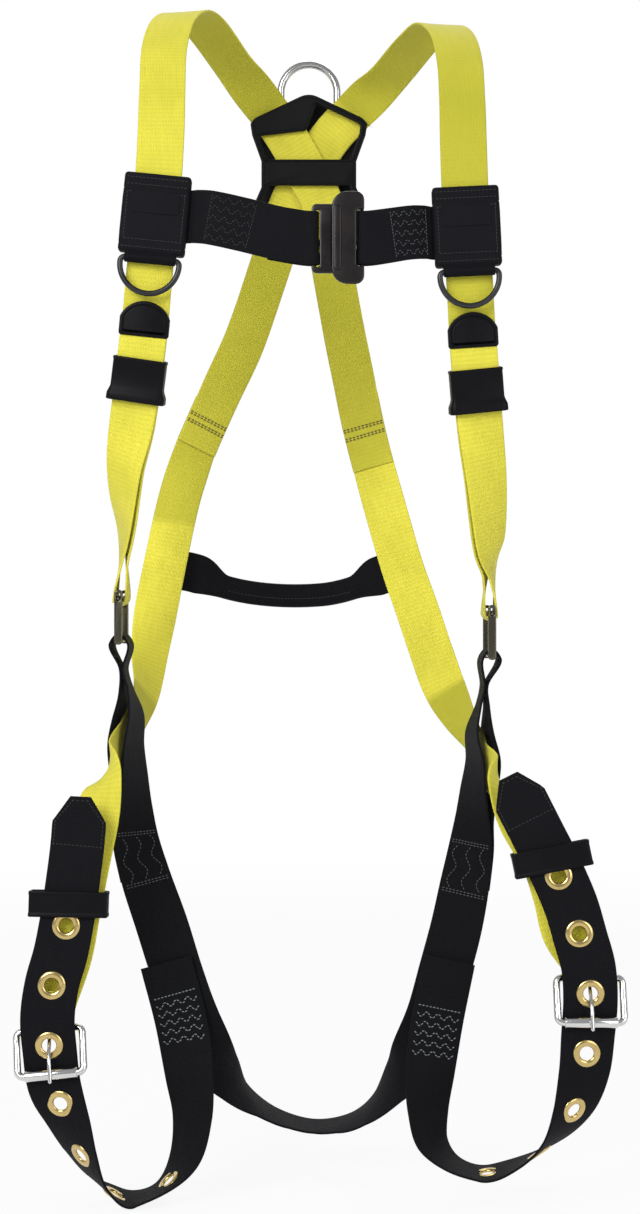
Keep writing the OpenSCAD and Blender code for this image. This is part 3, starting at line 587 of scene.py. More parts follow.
@cache
def weave_group() -> bpy.types.NodeTree:
    """Makes the group for woven yarns on a strap's own map, in metres across and along.

    Returns:
        The group's tree.
    """
    sizes = {"Map": None, "Yarn mm": 1.6, "Pick mm": 2.4}
    t, src, out = shader_group("Woven band", sizes, ("Height", "Streak", "Rib"))
    across, along, _ = t.add("ShaderNodeSeparateXYZ", {0: src["Map"]}).outputs
    u = t.math("DIVIDE", t.math("MULTIPLY", across, 1 / MM), src["Yarn mm"])
    v = t.math("DIVIDE", t.math("MULTIPLY", along, 1 / MM), src["Pick mm"])
    column = t.math("FLOOR", u)
    shift = t.math("MULTIPLY", t.math("FLOORED_MODULO", column, 2.0), 0.5)
    over = t.math("SINE", t.math("MULTIPLY", t.math("ADD", v, shift), 2 * pi))
    ridge = t.math("ABSOLUTE", t.math("SINE", t.math("MULTIPLY", u, pi)))
    crown = t.math("MULTIPLY_ADD", over, 0.3, 0.7)
    yarn, length = t.math("MULTIPLY", column, 0.37), t.math("MULTIPLY", v, 0.06)
    place = t.out("ShaderNodeCombineXYZ", {0: yarn, 1: length})
    rib = t.math("SINE", t.math("MULTIPLY", v, pi))
    t.fill(out, {
        "Height": t.math("MULTIPLY", ridge, crown),
        "Streak": t.out("ShaderNodeTexNoise", {"Vector": place, "Scale": 1.0, "Detail": 3.0}),
        "Rib": t.math("MULTIPLY_ADD", rib, 0.5, 0.5),
    })
    return t.tree


@cache
def patch_group() -> bpy.types.NodeTree:
    """Makes the group for broad soft patches, such as handling marks and dust.

    Returns:
        The group's tree.
    """
    t, src, out = shader_group("Soft patches", {"Vector": None, "Scale": 20.0}, ("Mask",))
    noise = t.out("ShaderNodeTexNoise", {"Vector": src["Vector"], "Scale": src["Scale"], "Detail": 5.0})
    t.fill(out, {"Mask": t.span(noise, 0.0, 1.0, 0.35, 0.7, interpolation_type="SMOOTHSTEP")})
    return t.tree


@cache
def grain_group() -> bpy.types.NodeTree:
    """Makes the group for fine grain, stretched along one axis where it is brushed.

    Returns:
        The group's tree.
    """
    sizes = {"Vector": None, "Scale": 900.0, "Stretch": 1.0}
    t, src, out = shader_group("Fine grain", sizes, ("Height", "Scratch"))
    size = t.out("ShaderNodeCombineXYZ", {0: src["Stretch"], 1: 1.0, 2: 1.0})
    place = t.out("ShaderNodeVectorMath", {0: src["Vector"], 1: size}, operation="MULTIPLY")
    lines = t.out("ShaderNodeTexNoise", {
        "Vector": place, "Scale": t.math("MULTIPLY", src["Scale"], 0.2), "Detail": 6.0,
        "Roughness": 0.75, "Distortion": 1.5,
    })
    t.fill(out, {
        "Height": t.out("ShaderNodeTexNoise", {"Vector": place, "Scale": src["Scale"], "Detail": 2.0}),
        "Scratch": t.span(lines, 0.0, 1.0, 0.55, 0.75),
    })
    return t.tree


@dataclass(frozen=True)
class Finish:
    """A material with a name and a slot name, built once and shared by its pieces."""

    name: str
    slot: Slot

    def material(self) -> bpy.types.Material:
        """Builds the material at the first call.

        Returns:
            The material.
        """
        found = bpy.data.materials.get(self.name)
        if found:
            return found
        mat = bpy.data.materials.new(self.name)
        mat.use_nodes = True
        self.dress(NodeTree(mat.node_tree), mat.node_tree.nodes["Principled BSDF"])
        return mat

    def dress(self, tree: NodeTree, skin: Node) -> None:
        """Links the finish's nodes to the Principled shader."""
        raise NotImplementedError


@dataclass(frozen=True)
class WebbingFinish(Finish):
    """Woven polyester strap. The mesh's tone attribute is painted shade, from 0, bright, to 1, dull."""

    # Ends of the tone's painted shade, then the colour of painted shade in the weave's valleys.
    bright: Colour
    dull: Colour
    valley_shade: Colour
    yarn: float = 1.5
    pick: float = 2.2
    depth: float = 0.22
    roughness: float = 0.72
    sheen: float = 0.2
    specular: float = 0.25
    soil: float = 0.16
    streaks: float = 0.3
    ribs: float = 0.14
    patches: float = 26.0

    def dress(self, tree: NodeTree, skin: Node) -> None:
        """Links yarns, streaks, soil and tone to the shader.

        Args:
            tree: tree of the material.
            skin: its Principled shader.
        """
        band = tree.out("ShaderNodeUVMap", uv_map="weave")
        sizes = {"Map": band, "Yarn mm": self.yarn, "Pick mm": self.pick}
        weave = tree.add("ShaderNodeGroup", sizes, node_tree=weave_group()).outputs
        place = {"Vector": tree.add("ShaderNodeTexCoord").outputs["Object"], "Scale": self.patches}
        patch = tree.out("ShaderNodeGroup", place, node_tree=patch_group())
        tone = tree.add("ShaderNodeAttribute", attribute_name="tone").outputs["Fac"]
        # Painted shade: the tone darkens the bright colour towards the dull one.
        base = tree.mix(tone, rgba(self.bright), rgba(self.dull))
        # Painted shade in the weave's valleys, not wear: the colour darkens where the yarns dip.
        worn = tree.mix(tree.span(weave["Height"], 0.5, 0.0), base, rgba(self.valley_shade))
        # Real streaks, soil and ribs mix the colour towards the dull one too.
        soil = tree.math("MULTIPLY", patch, self.soil)
        streak = tree.math("MULTIPLY_ADD", weave["Streak"], self.streaks, soil)
        ribbed = tree.math("MULTIPLY_ADD", weave["Rib"], self.ribs, streak)
        tree.fill(skin, {
            "Base Color": tree.mix(ribbed, worn, rgba(self.dull)),
            "Roughness": tree.span(weave["Streak"], self.roughness - 0.08, self.roughness + 0.1),
            "Sheen Weight": self.sheen,
            "Sheen Roughness": 0.4,
            "Specular IOR Level": self.specular,
            "Normal": tree.bump(weave["Height"], self.depth),
        })


@dataclass(frozen=True)
class SolidFinish(Finish):
    """Plastic, metal, paint or thread with grain, scratches and soft patches."""

    colour: Colour
    worn: Colour
    roughness: float
    metallic: float = 0.0
    grain: float = 900.0
    stretch: float = 1.0
    depth: float = 0.03
    scratches: float = 0.5
    coat: float = 0.0
    specular: float = 0.5
    dust: float = 0.25
    patches: float = 45.0

    def dress(self, tree: NodeTree, skin: Node) -> None:
        """Links grain, scratches and patches to the shader.

        Args:
            tree: tree of the material.
            skin: its Principled shader.
        """
        place = tree.add("ShaderNodeTexCoord").outputs["Object"]
        sizes = {"Vector": place, "Scale": self.grain, "Stretch": self.stretch}
        grain = tree.add("ShaderNodeGroup", sizes, node_tree=grain_group()).outputs
        spots = {"Vector": place, "Scale": self.patches}
        patch = tree.out("ShaderNodeGroup", spots, node_tree=patch_group())
        marks = tree.math("MULTIPLY", grain["Scratch"], self.scratches)
        share = tree.math("MULTIPLY_ADD", patch, self.dust, marks)
        tree.fill(skin, {
            "Base Color": tree.mix(share, rgba(self.colour), rgba(self.worn)),
            "Roughness": tree.span(share, max(self.roughness - 0.07, 0.03), self.roughness + 0.12),
            "Metallic": self.metallic,
            "Specular IOR Level": self.specular,
            "Coat Weight": self.coat,
            "Coat Roughness": 0.25,
            "Normal": tree.bump(grain["Height"], self.depth),
        })


def thread_finish(shade: str, slot: Slot, colour: Colour, worn: Colour) -> SolidFinish:
    """Returns the finish of sewing thread."""
    return SolidFinish(f"{shade} thread", slot, colour, worn, roughness=0.7, grain=1500.0, depth=0.06)


YELLOW_WEB = WebbingFinish(
    "Yellow webbing", Slot.YELLOW, bright=(0.95, 0.86, 0.085), dull=(0.40, 0.385, 0.024),
    valley_shade=(0.50, 0.44, 0.03))
BLACK_WEB = WebbingFinish(
    "Black webbing", Slot.BLACK, bright=(0.003, 0.0032, 0.005), dull=(0.006, 0.006, 0.008),
    valley_shade=(0.0015, 0.0015, 0.002), sheen=0.015, specular=0.1)
COVER_CLOTH = WebbingFinish(
    "Black cover cloth", Slot.COVER, bright=(0.0045, 0.0045, 0.0065), dull=(0.009, 0.009, 0.012),
    valley_shade=(0.0015, 0.0015, 0.002), yarn=0.9, pick=0.9, depth=0.12, sheen=0.015, roughness=0.7, specular=0.1)
PLASTIC = SolidFinish(
    "Black plastic", Slot.PLASTIC, colour=(0.002, 0.002, 0.003), worn=(0.006, 0.006, 0.008), roughness=0.5,
    scratches=0.2, specular=0.11)
PAD_PLASTIC = SolidFinish(
    "Black pad plastic", Slot.PAD, colour=(0.003, 0.003, 0.004), worn=(0.008, 0.008, 0.01), roughness=0.55,
    depth=0.05, grain=650.0, scratches=0.15, specular=0.13)
BRIGHT_STEEL = SolidFinish(
    "Bright steel", Slot.BRIGHT_STEEL, colour=(0.68, 0.68, 0.67), worn=(0.42, 0.41, 0.40), roughness=0.2,
    metallic=1.0, grain=700.0, stretch=0.15, depth=0.012)
DULL_ZINC = SolidFinish(
    "Dull zinc", Slot.FORGED_STEEL, colour=(0.12, 0.11, 0.08), worn=(0.035, 0.032, 0.024), roughness=0.3,
    metallic=1.0, grain=420.0, depth=0.03)
FORGED_STEEL = SolidFinish(
    "Forged steel", Slot.FORGED_STEEL, colour=(0.52, 0.52, 0.51), worn=(0.34, 0.33, 0.32), roughness=0.24,
    metallic=1.0, grain=420.0, depth=0.008, scratches=0.3)
DARK_STEEL = SolidFinish(
    "Dark painted steel", Slot.DARK_STEEL, colour=(0.007, 0.005, 0.0055), worn=(0.034, 0.022, 0.021),
    roughness=0.34, metallic=0.5, grain=500.0, depth=0.02, scratches=0.25, coat=0.2)
BARE_STEEL = SolidFinish(
    "Bare dark steel", Slot.DARK_STEEL, colour=(0.024, 0.021, 0.022), worn=(0.09, 0.082, 0.082),
    roughness=0.26, metallic=0.75, grain=500.0, depth=0.02, scratches=0.3)
BLACK_STEEL = SolidFinish(
    "Black coated steel", Slot.PLASTIC, colour=(0.009, 0.009, 0.011), worn=(0.05, 0.05, 0.052),
    roughness=0.38, metallic=0.4, grain=500.0, scratches=0.3, coat=0.15)
BRASS = SolidFinish(
    "Brass", Slot.BRASS, colour=(0.62, 0.47, 0.19), worn=(0.36, 0.25, 0.10), roughness=0.26, metallic=1.0,
    grain=650.0, depth=0.015)
GREY_THREAD = thread_finish("Grey", Slot.BLACK, (0.15, 0.17, 0.175), (0.08, 0.09, 0.095))
OLIVE_THREAD = thread_finish("Olive", Slot.YELLOW, (0.15, 0.12, 0.025), (0.09, 0.075, 0.02))
DARK_THREAD = thread_finish("Dark grey", Slot.BLACK, (0.065, 0.068, 0.072), (0.03, 0.032, 0.034))
BLACK_THREAD = thread_finish("Black", Slot.BLACK, (0.016, 0.017, 0.019), (0.009, 0.009, 0.01))


def finished(obj: Object, finish: Finish, node: str = "", body: str = ROOT,
             slot: Slot | None = None) -> None:
    """Gives a piece its finish and its body, and hides the CAD node it is shown for.

    Args:
        obj: object at the origin with its place in its mesh.
        finish: finish of the whole piece.
        node: CAD node that the piece is shown for, if it is shown for one.
        body: body that the piece moves with.
        slot: material slot, not used.
    """
    obj.data.name = obj.name
    obj.data.materials.clear()
    obj.data.materials.append(finish.material())
    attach(obj, body)
    if node:
        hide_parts(node)
    LOG.info("%s: %d faces on %s", obj.name, len(obj.data.polygons), body)


def piece(name: str, mesh: Mesh, finish: Finish, node: str = "") -> None:
    """Makes a finished piece of the harness's own body."""
    finished(new_object(name, mesh), finish, node)


def moving_piece(name: str, mesh: Mesh, finish: Finish, node: str) -> None:
    """Makes a finished piece of a body that moves, which has its node's name."""
    finished(new_object(name, mesh), finish, node, node)


ALIGN = "FunctionNodeAlignRotationToVector"


class GeometryTree:
    """A geometry nodes tree with named inputs, run on a carrier mesh and turned into a plain mesh."""

    def __init__(self, name: str, inputs: dict[str, float]) -> None:
        """Makes the tree with its inputs.

        Args:
            name: name of the tree.
            inputs: names of the sizes with their first values, in metres.
        """
        self.group = bpy.data.node_groups.new(name, "GeometryNodeTree")
        sockets = self.group.interface
        sockets.new_socket(name="Carrier", in_out="INPUT", socket_type="NodeSocketGeometry")
        for key, value in inputs.items():
            size = sockets.new_socket(name=key, in_out="INPUT", socket_type="NodeSocketFloat")
            size.default_value = value
        sockets.new_socket(name="Finish", in_out="INPUT", socket_type="NodeSocketMaterial")
        sockets.new_socket(name="Result", in_out="OUTPUT", socket_type="NodeSocketGeometry")
        self.tree = NodeTree(self.group)
        self.src = self.tree.add("NodeGroupInput").outputs
        self.result = self.tree.add("NodeGroupOutput")

    def carried(self, key: str) -> Socket:
        """Returns a direction that the carrier's points hold."""
        return self.tree.out("GeometryNodeInputNamedAttribute", {"Name": key}, data_type="FLOAT_VECTOR")

    def laid_along(self, ahead: Socket) -> Socket:
        """Returns a rotation with X along a direction and Z towards the carrier's up attribute."""
        turn = {"Rotation": self.tree.out(ALIGN, {"Vector": ahead}, axis="X"), "Vector": self.carried("up")}
        return self.tree.out(ALIGN, turn, axis="Z", pivot_axis="X")

    def close(self, geometry: Socket) -> None:
        """Ends the tree in real, smooth, finished faces.

        Args:
            geometry: instances that the tree has made.
        """
        real = self.tree.out("GeometryNodeRealizeInstances", {0: geometry})
        smooth = self.tree.out("GeometryNodeSetShadeSmooth", {0: real})
        skin = self.tree.out("GeometryNodeSetMaterial", {0: smooth, "Material": self.src["Finish"]})
        self.tree.fill(self.result, {0: skin})

    def run(self, carrier: Object, finish: Finish, sizes: dict[str, float]) -> Object:
        """Runs the tree on a carrier.

        Args:
            carrier: object with the carrier mesh, which the result takes the name of.
            finish: finish of the result.
            sizes: values for the named inputs, in metres.

        Returns:
            A plain mesh object.
        """
        values = {**sizes, "Finish": finish.material()}
        modifier = carrier.modifiers.new("Repeat", "NODES")
        modifier.node_group = self.group
        for item in self.group.interface.items_tree:
            if item.name in values:
                modifier[item.identifier] = values[item.name]
        return baked(carrier)


def carrier(name: str, rows: Sequence[Row], ahead: Sequence[Vec] = ()) -> Object:
    """Makes the mesh that a geometry tree works along.

    Args:
        name: name of the object.
        rows: lines of (place, up) points in millimetres.
        ahead: direction of each point, where the rows are single points.

    Returns:
        An object with points, edges and the up and ahead attributes.
    """
    points = [p for row in rows for p, _ in row]
    ups = [u for row in rows for _, u in row]
    edges: list[tuple[int, int]] = []
    start = 0
    for row in rows:
        edges += [(start + k, start + k + 1) for k in range(len(row) - 1)]
        start += len(row)
    mesh = bpy.data.meshes.new(name)
    mesh.from_pydata([tuple(p * MM) for p in points], edges, [])
    for key, vectors in (("up", ups), ("ahead", ahead)):
        if len(vectors):
            layer = mesh.attributes.new(key, "FLOAT_VECTOR", "POINT")
            layer.data.foreach_set("vector", np.ravel(vectors))
    return new_object(name, mesh)


class StitchTree(GeometryTree):
    """Thread stitches along lines."""

    def __init__(self) -> None:
        """Builds the tree."""
        super().__init__("Stitch rows", {"Pitch": 0.0034, "Stitch": 0.0030, "Thread": 0.0010})
        t, src = self.tree, self.src
        line = t.out("GeometryNodeMeshToCurve", {0: src["Carrier"]})
        even = t.out("GeometryNodeResampleCurve", {"Curve": line, "Length": src["Pitch"]}, mode="LENGTH")
        turn = self.laid_along(t.out("GeometryNodeInputTangent"))
        spread = {2: 0.9, 3: 1.08, "Seed": 7}
        loose = t.add("FunctionNodeRandomValue", spread, data_type="FLOAT").outputs[1]
        length, height = t.math("MULTIPLY", src["Stitch"], loose), t.math("MULTIPLY", src["Thread"], 0.75)
        size = t.out("ShaderNodeCombineXYZ", {0: length, 1: src["Thread"], 2: height})
        stitch = t.out("GeometryNodeMeshUVSphere", {"Segments": 8, "Rings": 5, "Radius": 0.5})
        self.close(t.out("GeometryNodeInstanceOnPoints", {
            "Points": even, "Instance": stitch, "Rotation": turn, "Scale": size}))

    def sew(self, name: str, rows: Sequence[Row], thread: Finish, stitch: float = 3.0, width: float = 1.0,
            slot: Slot | None = None) -> None:
        """Sews rows of (place, up) points with stitches of a length and a width in millimetres."""
        sizes = {"Pitch": (stitch + STITCH_GAP) * MM, "Stitch": stitch * MM, "Thread": width * MM}
        finished(self.run(carrier(name, rows), thread, sizes), thread, slot=slot)


class GrommetTree(GeometryTree):
    """Rolled grommets at points."""

    def __init__(self) -> None:
        """Builds the tree."""
        super().__init__("Grommets", {"Middle": 0.0101, "Half width": 0.0035, "Half height": 0.002})
        t, src = self.tree, self.src
        ring = t.out("GeometryNodeCurvePrimitiveCircle", {"Resolution": 44, "Radius": src["Middle"]})
        level = t.out("GeometryNodeSetCurveNormal", {0: ring}, mode="Z_UP")
        bead = t.out("GeometryNodeCurvePrimitiveCircle", {"Resolution": 14, "Radius": 1.0})
        size = t.out("ShaderNodeCombineXYZ", {0: src["Half width"], 1: src["Half height"], 2: 1.0})
        section = t.out("GeometryNodeTransform", {"Geometry": bead, "Scale": size})
        solid = t.out("GeometryNodeCurveToMesh", {0: level, "Profile Curve": section})
        turn = self.laid_along(self.carried("ahead"))
        self.close(t.out("GeometryNodeInstanceOnPoints", {
            "Points": src["Carrier"], "Instance": solid, "Rotation": turn}))


def edge_section(width: float, thickness: float) -> list[Flat]:
    """Returns a strap's section, counter-clockwise, with soft edges and flat faces.

    Args:
        width: whole width in millimetres.
        thickness: whole thickness.

    Returns:
        Points (across, normal): the inner face first, then the outer face.
    """
    h = thickness / 2
    r = 0.95 * h
    a = width / 2 - r
    flat = [-a, -a + 0.05 * width, -0.45 * a, 0.0, 0.45 * a, a - 0.05 * width, a]
    turn = [(0.62 * r, 0.78 * h), (r, 0.0), (0.62 * r, -0.78 * h)]
    return (
        [(x, -h) for x in flat] + [(a + x, y) for x, y in turn[::-1]]
        + [(x, h) for x in flat[::-1]] + [(-a - x, y) for x, y in turn]
    )


@dataclass
class Ribbon:
    """A length of webbing with steps rings between two route points, and waves as high as ripple."""

    route: Route
    width: float
    thickness: float = WEB_T
    steps: int = 12
    ripple: float = 0.1
    frames: list[Frame] = field(init=False)
    lengths: np.ndarray = field(init=False)

    def __post_init__(self) -> None:
        """Measures the route."""
        self.frames = self.route.frames(self.steps)
        gaps = [np.linalg.norm(b.place - a.place) for a, b in zip(self.frames, self.frames[1:])]
        self.lengths = np.concatenate([[0.0], np.cumsum(gaps)])

    def length_at(self, x: float) -> float:
        """Returns the length of webbing up to route place x."""
        return float(np.interp(x * self.steps, np.arange(len(self.lengths)), self.lengths))

    def frame_after(self, s: float) -> Frame:
        """Returns the frame after a length s of webbing."""
        x = float(np.interp(s, self.lengths, np.arange(len(self.lengths)))) / self.steps
        return self.route.at(x)

    def face_at(self, s: float, way: float) -> Face:
        """Returns the face that looks forward (way -1) or back (way 1) after a length s of webbing."""
        return Face.OUTER if way * self.frame_after(s).normal[1] > 0 else Face.INNER

    def on(self, s: float, x: float, face: Face) -> tuple[Vec, Vec]:
        """Returns the place on a face at length s, x from the middle, and the direction out of it."""
        f = self.frame_after(s)
        return f.point((x, face.value * (self.thickness / 2 + THREAD_LIFT), 0)), face.value * f.normal

    def mesh(self, tone: Tone, width_at: Callable[[float], float] | None = None,
             section: Callable[[float], list[Flat]] | None = None) -> Mesh:
        """Sweeps the webbing.

        Args:
            tone: painted shade, as dullness after a length of webbing, on a face.
            width_at: width after a length of webbing, where it changes.
            section: section after a length of webbing, where it isn't flat.

        Returns:
            A closed mesh with the weave map and the tone attribute.
        """
        sections: list[list[Flat]] = []
        loops: list[list[Vec]] = []
        tones: list[float] = []
        for f, s in zip(self.frames, self.lengths):
            # Woven edges and faces are never quite straight.
            width = width_at(s) if width_at else self.width
            width += 0.25 * sin(s / 23.0) * sin(s / 61.0 + 1.0)
            wave = self.ripple * (sin(s / 17.0) + sin(s / 41.0 + 2.0)) / 2
            shape = section(s) if section else edge_section(width, self.thickness)
            sections.append(shape)
            loops.append([f.point((x, y + wave, 0)) for x, y in shape])
            inner = len(shape) // 2 - 1
            tones += [tone(s, Face.INNER)] * inner + [tone(s, Face.OUTER)] * (len(shape) - inner)
        mesh = lofted(loops)
        self.map_weave(mesh, sections)
        mesh.attributes.new("tone", "FLOAT", "POINT").data.foreach_set("value", tones)
        sharpen(mesh, 70)
        return mesh

    def map_weave(self, mesh: Mesh, sections: list[list[Flat]]) -> None:
        """Gives the mesh a map in metres round and along the webbing.

        Args:
            mesh: mesh that lofted made from the sections.
            sections: section of each ring.
        """
        rounds = []
        for shape in sections:
            ring = np.array([*shape, shape[0]])
            sides = np.linalg.norm(np.diff(ring, axis=0), axis=1)
            rounds.append(np.concatenate([[0.0], np.cumsum(sides)]))
        uv: list[float] = []
        for a, b, s, t in zip(rounds, rounds[1:], self.lengths, self.lengths[1:]):
            for k in range(len(sections[0])):
                uv += [a[k], s, a[k + 1], s, b[k + 1], t, b[k], t]
        for shape, s in ((sections[0][::-1], 0.0), (sections[-1], self.lengths[-1])):
            for x, y in shape:
                uv += [x, s + y]
        mesh.uv_layers.new(name="weave").uv.foreach_set("vector", np.array(uv) * MM)


def cut(obj: Object, cutter: Mesh) -> Object:
    """Cuts a mesh out of an object.

    Args:
        obj: object that is replaced.
        cutter: closed mesh, which is removed.

    Returns:
        The object without the cutter's space.
    """
    tool = new_object("cutter", cutter)
    modifier = obj.modifiers.new("Cut", "BOOLEAN")
    modifier.operation, modifier.solver, modifier.object = "DIFFERENCE", "EXACT", tool
    done = baked(obj)
    bpy.data.objects.remove(tool)
    bpy.data.meshes.remove(cutter)
    return done


def even_tone(outer: float, inner: float) -> Tone:
    """Returns a tone that is the same all along each face."""
    return lambda s, face: outer if face is Face.OUTER else inner


def line_across(ribbon: Ribbon, s: float, half: float, face: Face, slant: float = 0.0) -> Row:
    """Returns a row across a strap at length s, half to each side, that rises by slant in all."""
    xs = np.linspace(-half, half, 13)
    return [ribbon.on(s + slant * x / (2 * half), x, face) for x in xs]


def wave_across(ribbon: Ribbon, s: float, half: float, face: Face, waves: float, swing: float) -> Row:
    """Returns a wavy row across a strap, with a number of waves of a swing in millimetres."""
    xs = np.linspace(-half, half, 49)
    return [ribbon.on(s + swing * sin(pi * waves * (x / half + 1)), x, face) for x in xs]


def wave_along(ribbon: Ribbon, s0: float, s1: float, x: float, face: Face, waves: float,
               swing: float) -> Row:
    """Returns a wavy row along a strap at distance x from its middle, from length s0 to s1."""
    places = [(s0 + (s1 - s0) * t, 2 * pi * waves * t) for t in np.linspace(0.0, 1.0, 49)]
    return [ribbon.on(s, x + swing * sin(a), face) for s, a in places]


# Routes of the straps, in millimetres: place and direction across.
HIP = {Side.RIGHT: vec(-190, -35, -616), Side.LEFT: vec(177, -35, -631)}
HIP_BAR_GAP = 40.0
DROP_W = 18.0
DROP_DOWN = 6.0
OUTWARD = {Side.RIGHT: -1.0, Side.LEFT: 1.0}


def hip_bar(side: Side, up: float) -> Vec:
    """Returns the middle of a hip buckle's upper bar (up 1) or lower bar (up -1)."""
    return HIP[side] + vec(0, 0, up * HIP_BAR_GAP / 2)


def bar_side(side: Side, across: float) -> RoutePoint:
    """Returns the route point on the inner side of a hip buckle's upper bar."""
    return hip_bar(side, 1) - vec(OUTWARD[side] * LOOP_R, 0, 0), vec(0, across, 0)


def drop_side(side: Side, way: float) -> RoutePoint:
    """Returns the widest place of the loop on a lower bar: inside for way -1, outside for way 1."""
    return hip_bar(side, -1) + vec(way * OUTWARD[side] * DROP_W / 2, 0, -DROP_DOWN), vec(0, 1, 0)


FRONT = {
    Side.RIGHT: Route([bar_side(Side.RIGHT, 1), *table(
        (-184, -42, -560, -0.12, 0.99, 0), (-182, -52, -530, -0.33, 0.94, 0),
        (-182, -64, -498, -0.6, 0.8, 0), (-180, -76, -465, -0.8, 0.6, 0),
        (-173, -88, -425, -0.97, 0.23, 0), (-167, -96, -385, -1, 0.08, 0),
        (-161, -103, -340, -1, 0.02, 0), (-156, -108, -290, -1, 0, 0), (-151, -110, -240, -1, 0, 0),
        (-147, -108, -195, -1, 0, 0), (-145, -100, -145, -1, 0, 0), (-145, -86, -102, -1, 0, 0),
        (-145, -62, -55, -1, 0, 0), (-139, -30, -18, -1, 0.1, 0), (-127, 2, 0, -1, 0.3, 0),
        (-110, 40, -4, -0.8, 0.6, -0.3), (-83, 90, -30, -0.6, 0.7, -0.5),
        (-52, 117, -64, -0.7, 0, -0.7), (-29, 117, -96, -0.84, 0, -0.54),
        (-9, 117, -131, -0.87, 0, -0.49), (10, 118, -168, -0.95, 0, -0.31),
        (20, 119, -230, -0.98, 0, -0.2), (34, 119, -308, -0.97, 0, -0.2),
        (44, 115, -358, -0.97, 0.1, -0.2), (53, 109, -405, -0.96, 0.2, -0.2),
        (65, 101, -454, -0.95, 0.2, -0.25),
    )]),
    Side.LEFT: Route([bar_side(Side.LEFT, -1), *table(
        (173, -42, -569, -0.22, -0.98, 0), (173, -52, -542, -0.63, -0.78, 0),
        (171, -64, -511, -0.79, -0.61, 0), (168, -76, -476, -0.89, -0.45, 0),
        (163, -88, -435, -0.97, -0.23, 0), (159, -96, -395, -1, -0.08, 0),
        (155, -103, -350, -1, -0.02, 0), (152, -108, -302, -1, 0, 0), (149, -110, -252, -1, 0, 0),
        (147, -108, -205, -1, 0, 0), (146, -100, -155, -1, 0, 0), (146, -86, -112, -1, 0, 0),
        (145, -62, -66, -1, 0, 0), (139, -30, -30, -1, -0.1, 0), (126, 2, -13, -1, -0.3, 0),
        (107, 40, -22, -0.8, -0.7, 0.3), (79, 92, -43, -0.58, -0.7, 0.48), (48, 118, -67, -0.7, 0, 0.7),
        (20, 122, -96, -0.78, 0, 0.62), (-3, 122, -131, -0.85, 0, 0.53),
        (-24, 123, -168, -0.92, 0, 0.39), (-44, 123, -230, -0.94, 0, 0.34),
        (-73, 119, -316, -0.92, 0, 0.35), (-97, 113, -370, -0.88, -0.25, 0.38),
        (-115, 106, -412, -0.85, -0.35, 0.38), (-124, 102, -434, -0.85, -0.35, 0.38),
    )]),
}
LEG = {
    Side.RIGHT: Route(table(
        (-143, -69, -952, 0.97, 0, 0.22), (-128, -72, -1008, 0.97, 0, 0.22),
        (-119, -82, -1062, 0.92, -0.35, 0), (-116, -87, -1098, 0.78, -0.62, 0),
        (-123, -93, -1136, 0.6, -0.8, 0), (-145, -101, -1163, 0.25, -0.95, 0.1),
        (-176, -108, -1171, 0, -1, 0), (-203, -121, -1152, 0.35, -0.93, 0.1),
        (-219, -133, -1119, 0.65, -0.75, 0.2), (-230, -142, -1086, 0.88, -0.45, 0.2),
        (-241, -148, -1053, 1, -0.05, 0.15), (-245, -150, -1021, 1, 0, 0.1),
        (-247, -152, -989, 1, 0, 0.02), (-243, -152, -958, 1, 0, -0.15), (-235, -149, -928, 1, 0, -0.2),
        (-229, -147, -896, 1, 0, -0.18), (-224, -144, -860, 1, 0, -0.12),
        (-220, -140, -823, 1, 0, -0.08), (-218, -135, -783, 1, 0, -0.05),
    )),
    Side.LEFT: Route(table(
        (135, -67, -950, 0.96, 0, -0.25), (123, -72, -1006, 0.97, 0, -0.2),
        (115, -82, -1058, 0.95, 0.3, 0), (113, -87, -1092, 0.8, 0.6, 0), (117, -93, -1121, 0.6, 0.8, 0),
        (136, -101, -1140, 0.25, 0.95, 0), (167, -108, -1147, 0, 1, 0),
        (202, -120, -1132, 0.3, 0.93, 0), (230, -132, -1108, 0.6, 0.78, 0),
        (247, -141, -1077, 0.85, 0.5, 0), (256, -147, -1040, 0.97, 0.2, 0),
        (259, -150, -1005, 1, 0.05, 0), (261, -152, -972, 1, 0, 0), (259, -153, -941, 1, 0, 0.1),
        (252, -150, -914, 0.97, 0, 0.25), (243, -148, -883, 0.95, 0, 0.3),
        (229, -145, -850, 0.93, 0, 0.36), (213, -141, -818, 0.92, 0, 0.4),
        (186, -132, -764, 0.92, 0, 0.4),
    )),
}
SEAT = {
    Side.RIGHT: table(
        (-141, 96, -485, -0.92, 0, 0.32), (-153, 80, -544, -0.97, 0, 0.2),
        (-163, 63, -602, -0.96, -0.2, 0.15), (-169, 47, -648, -0.8, -0.55, 0.2),
        (-171, 25, -688, -0.5, -0.75, 0.45), (-177, -2, -713, -0.25, -0.8, 0.55),
        (-184, -35, -734, -0.25, -0.8, 0.55), (-194, -69, -753, -0.2, -0.8, 0.55),
        (-200, -97, -773, 0.75, -0.45, 0.35), (-207, -114, -811, 0.97, -0.1, -0.1),
        (-214, -127, -848, 1, 0, -0.12), (-221, -135, -888, 1, 0, -0.15),
        (-229, -139, -932, 1, 0, -0.18),
    ),
    Side.LEFT: table(
        (81, 90, -512, -0.95, 0, -0.28), (95, 77, -562, -0.95, 0, -0.28),
        (110, 63, -607, -0.95, 0, -0.3), (125, 48, -654, -0.95, 0, -0.3),
        (136, 34, -686, -0.9, 0.3, -0.35), (150, 14, -714, -0.6, 0.65, -0.5),
        (166, -10, -741, -0.15, 0.8, -0.55), (169, -40, -758, -0.2, 0.8, -0.55),
        (179, -72, -769, -0.2, 0.8, -0.55), (187, -99, -782, 0.75, 0.45, -0.3),
        (202, -121, -811, 0.93, 0.05, 0.3), (221, -133, -845, 0.93, 0, 0.36),
        (232, -136, -879, 0.93, 0, 0.36), (240, -139, -911, 0.95, 0, 0.3),
    ),
}
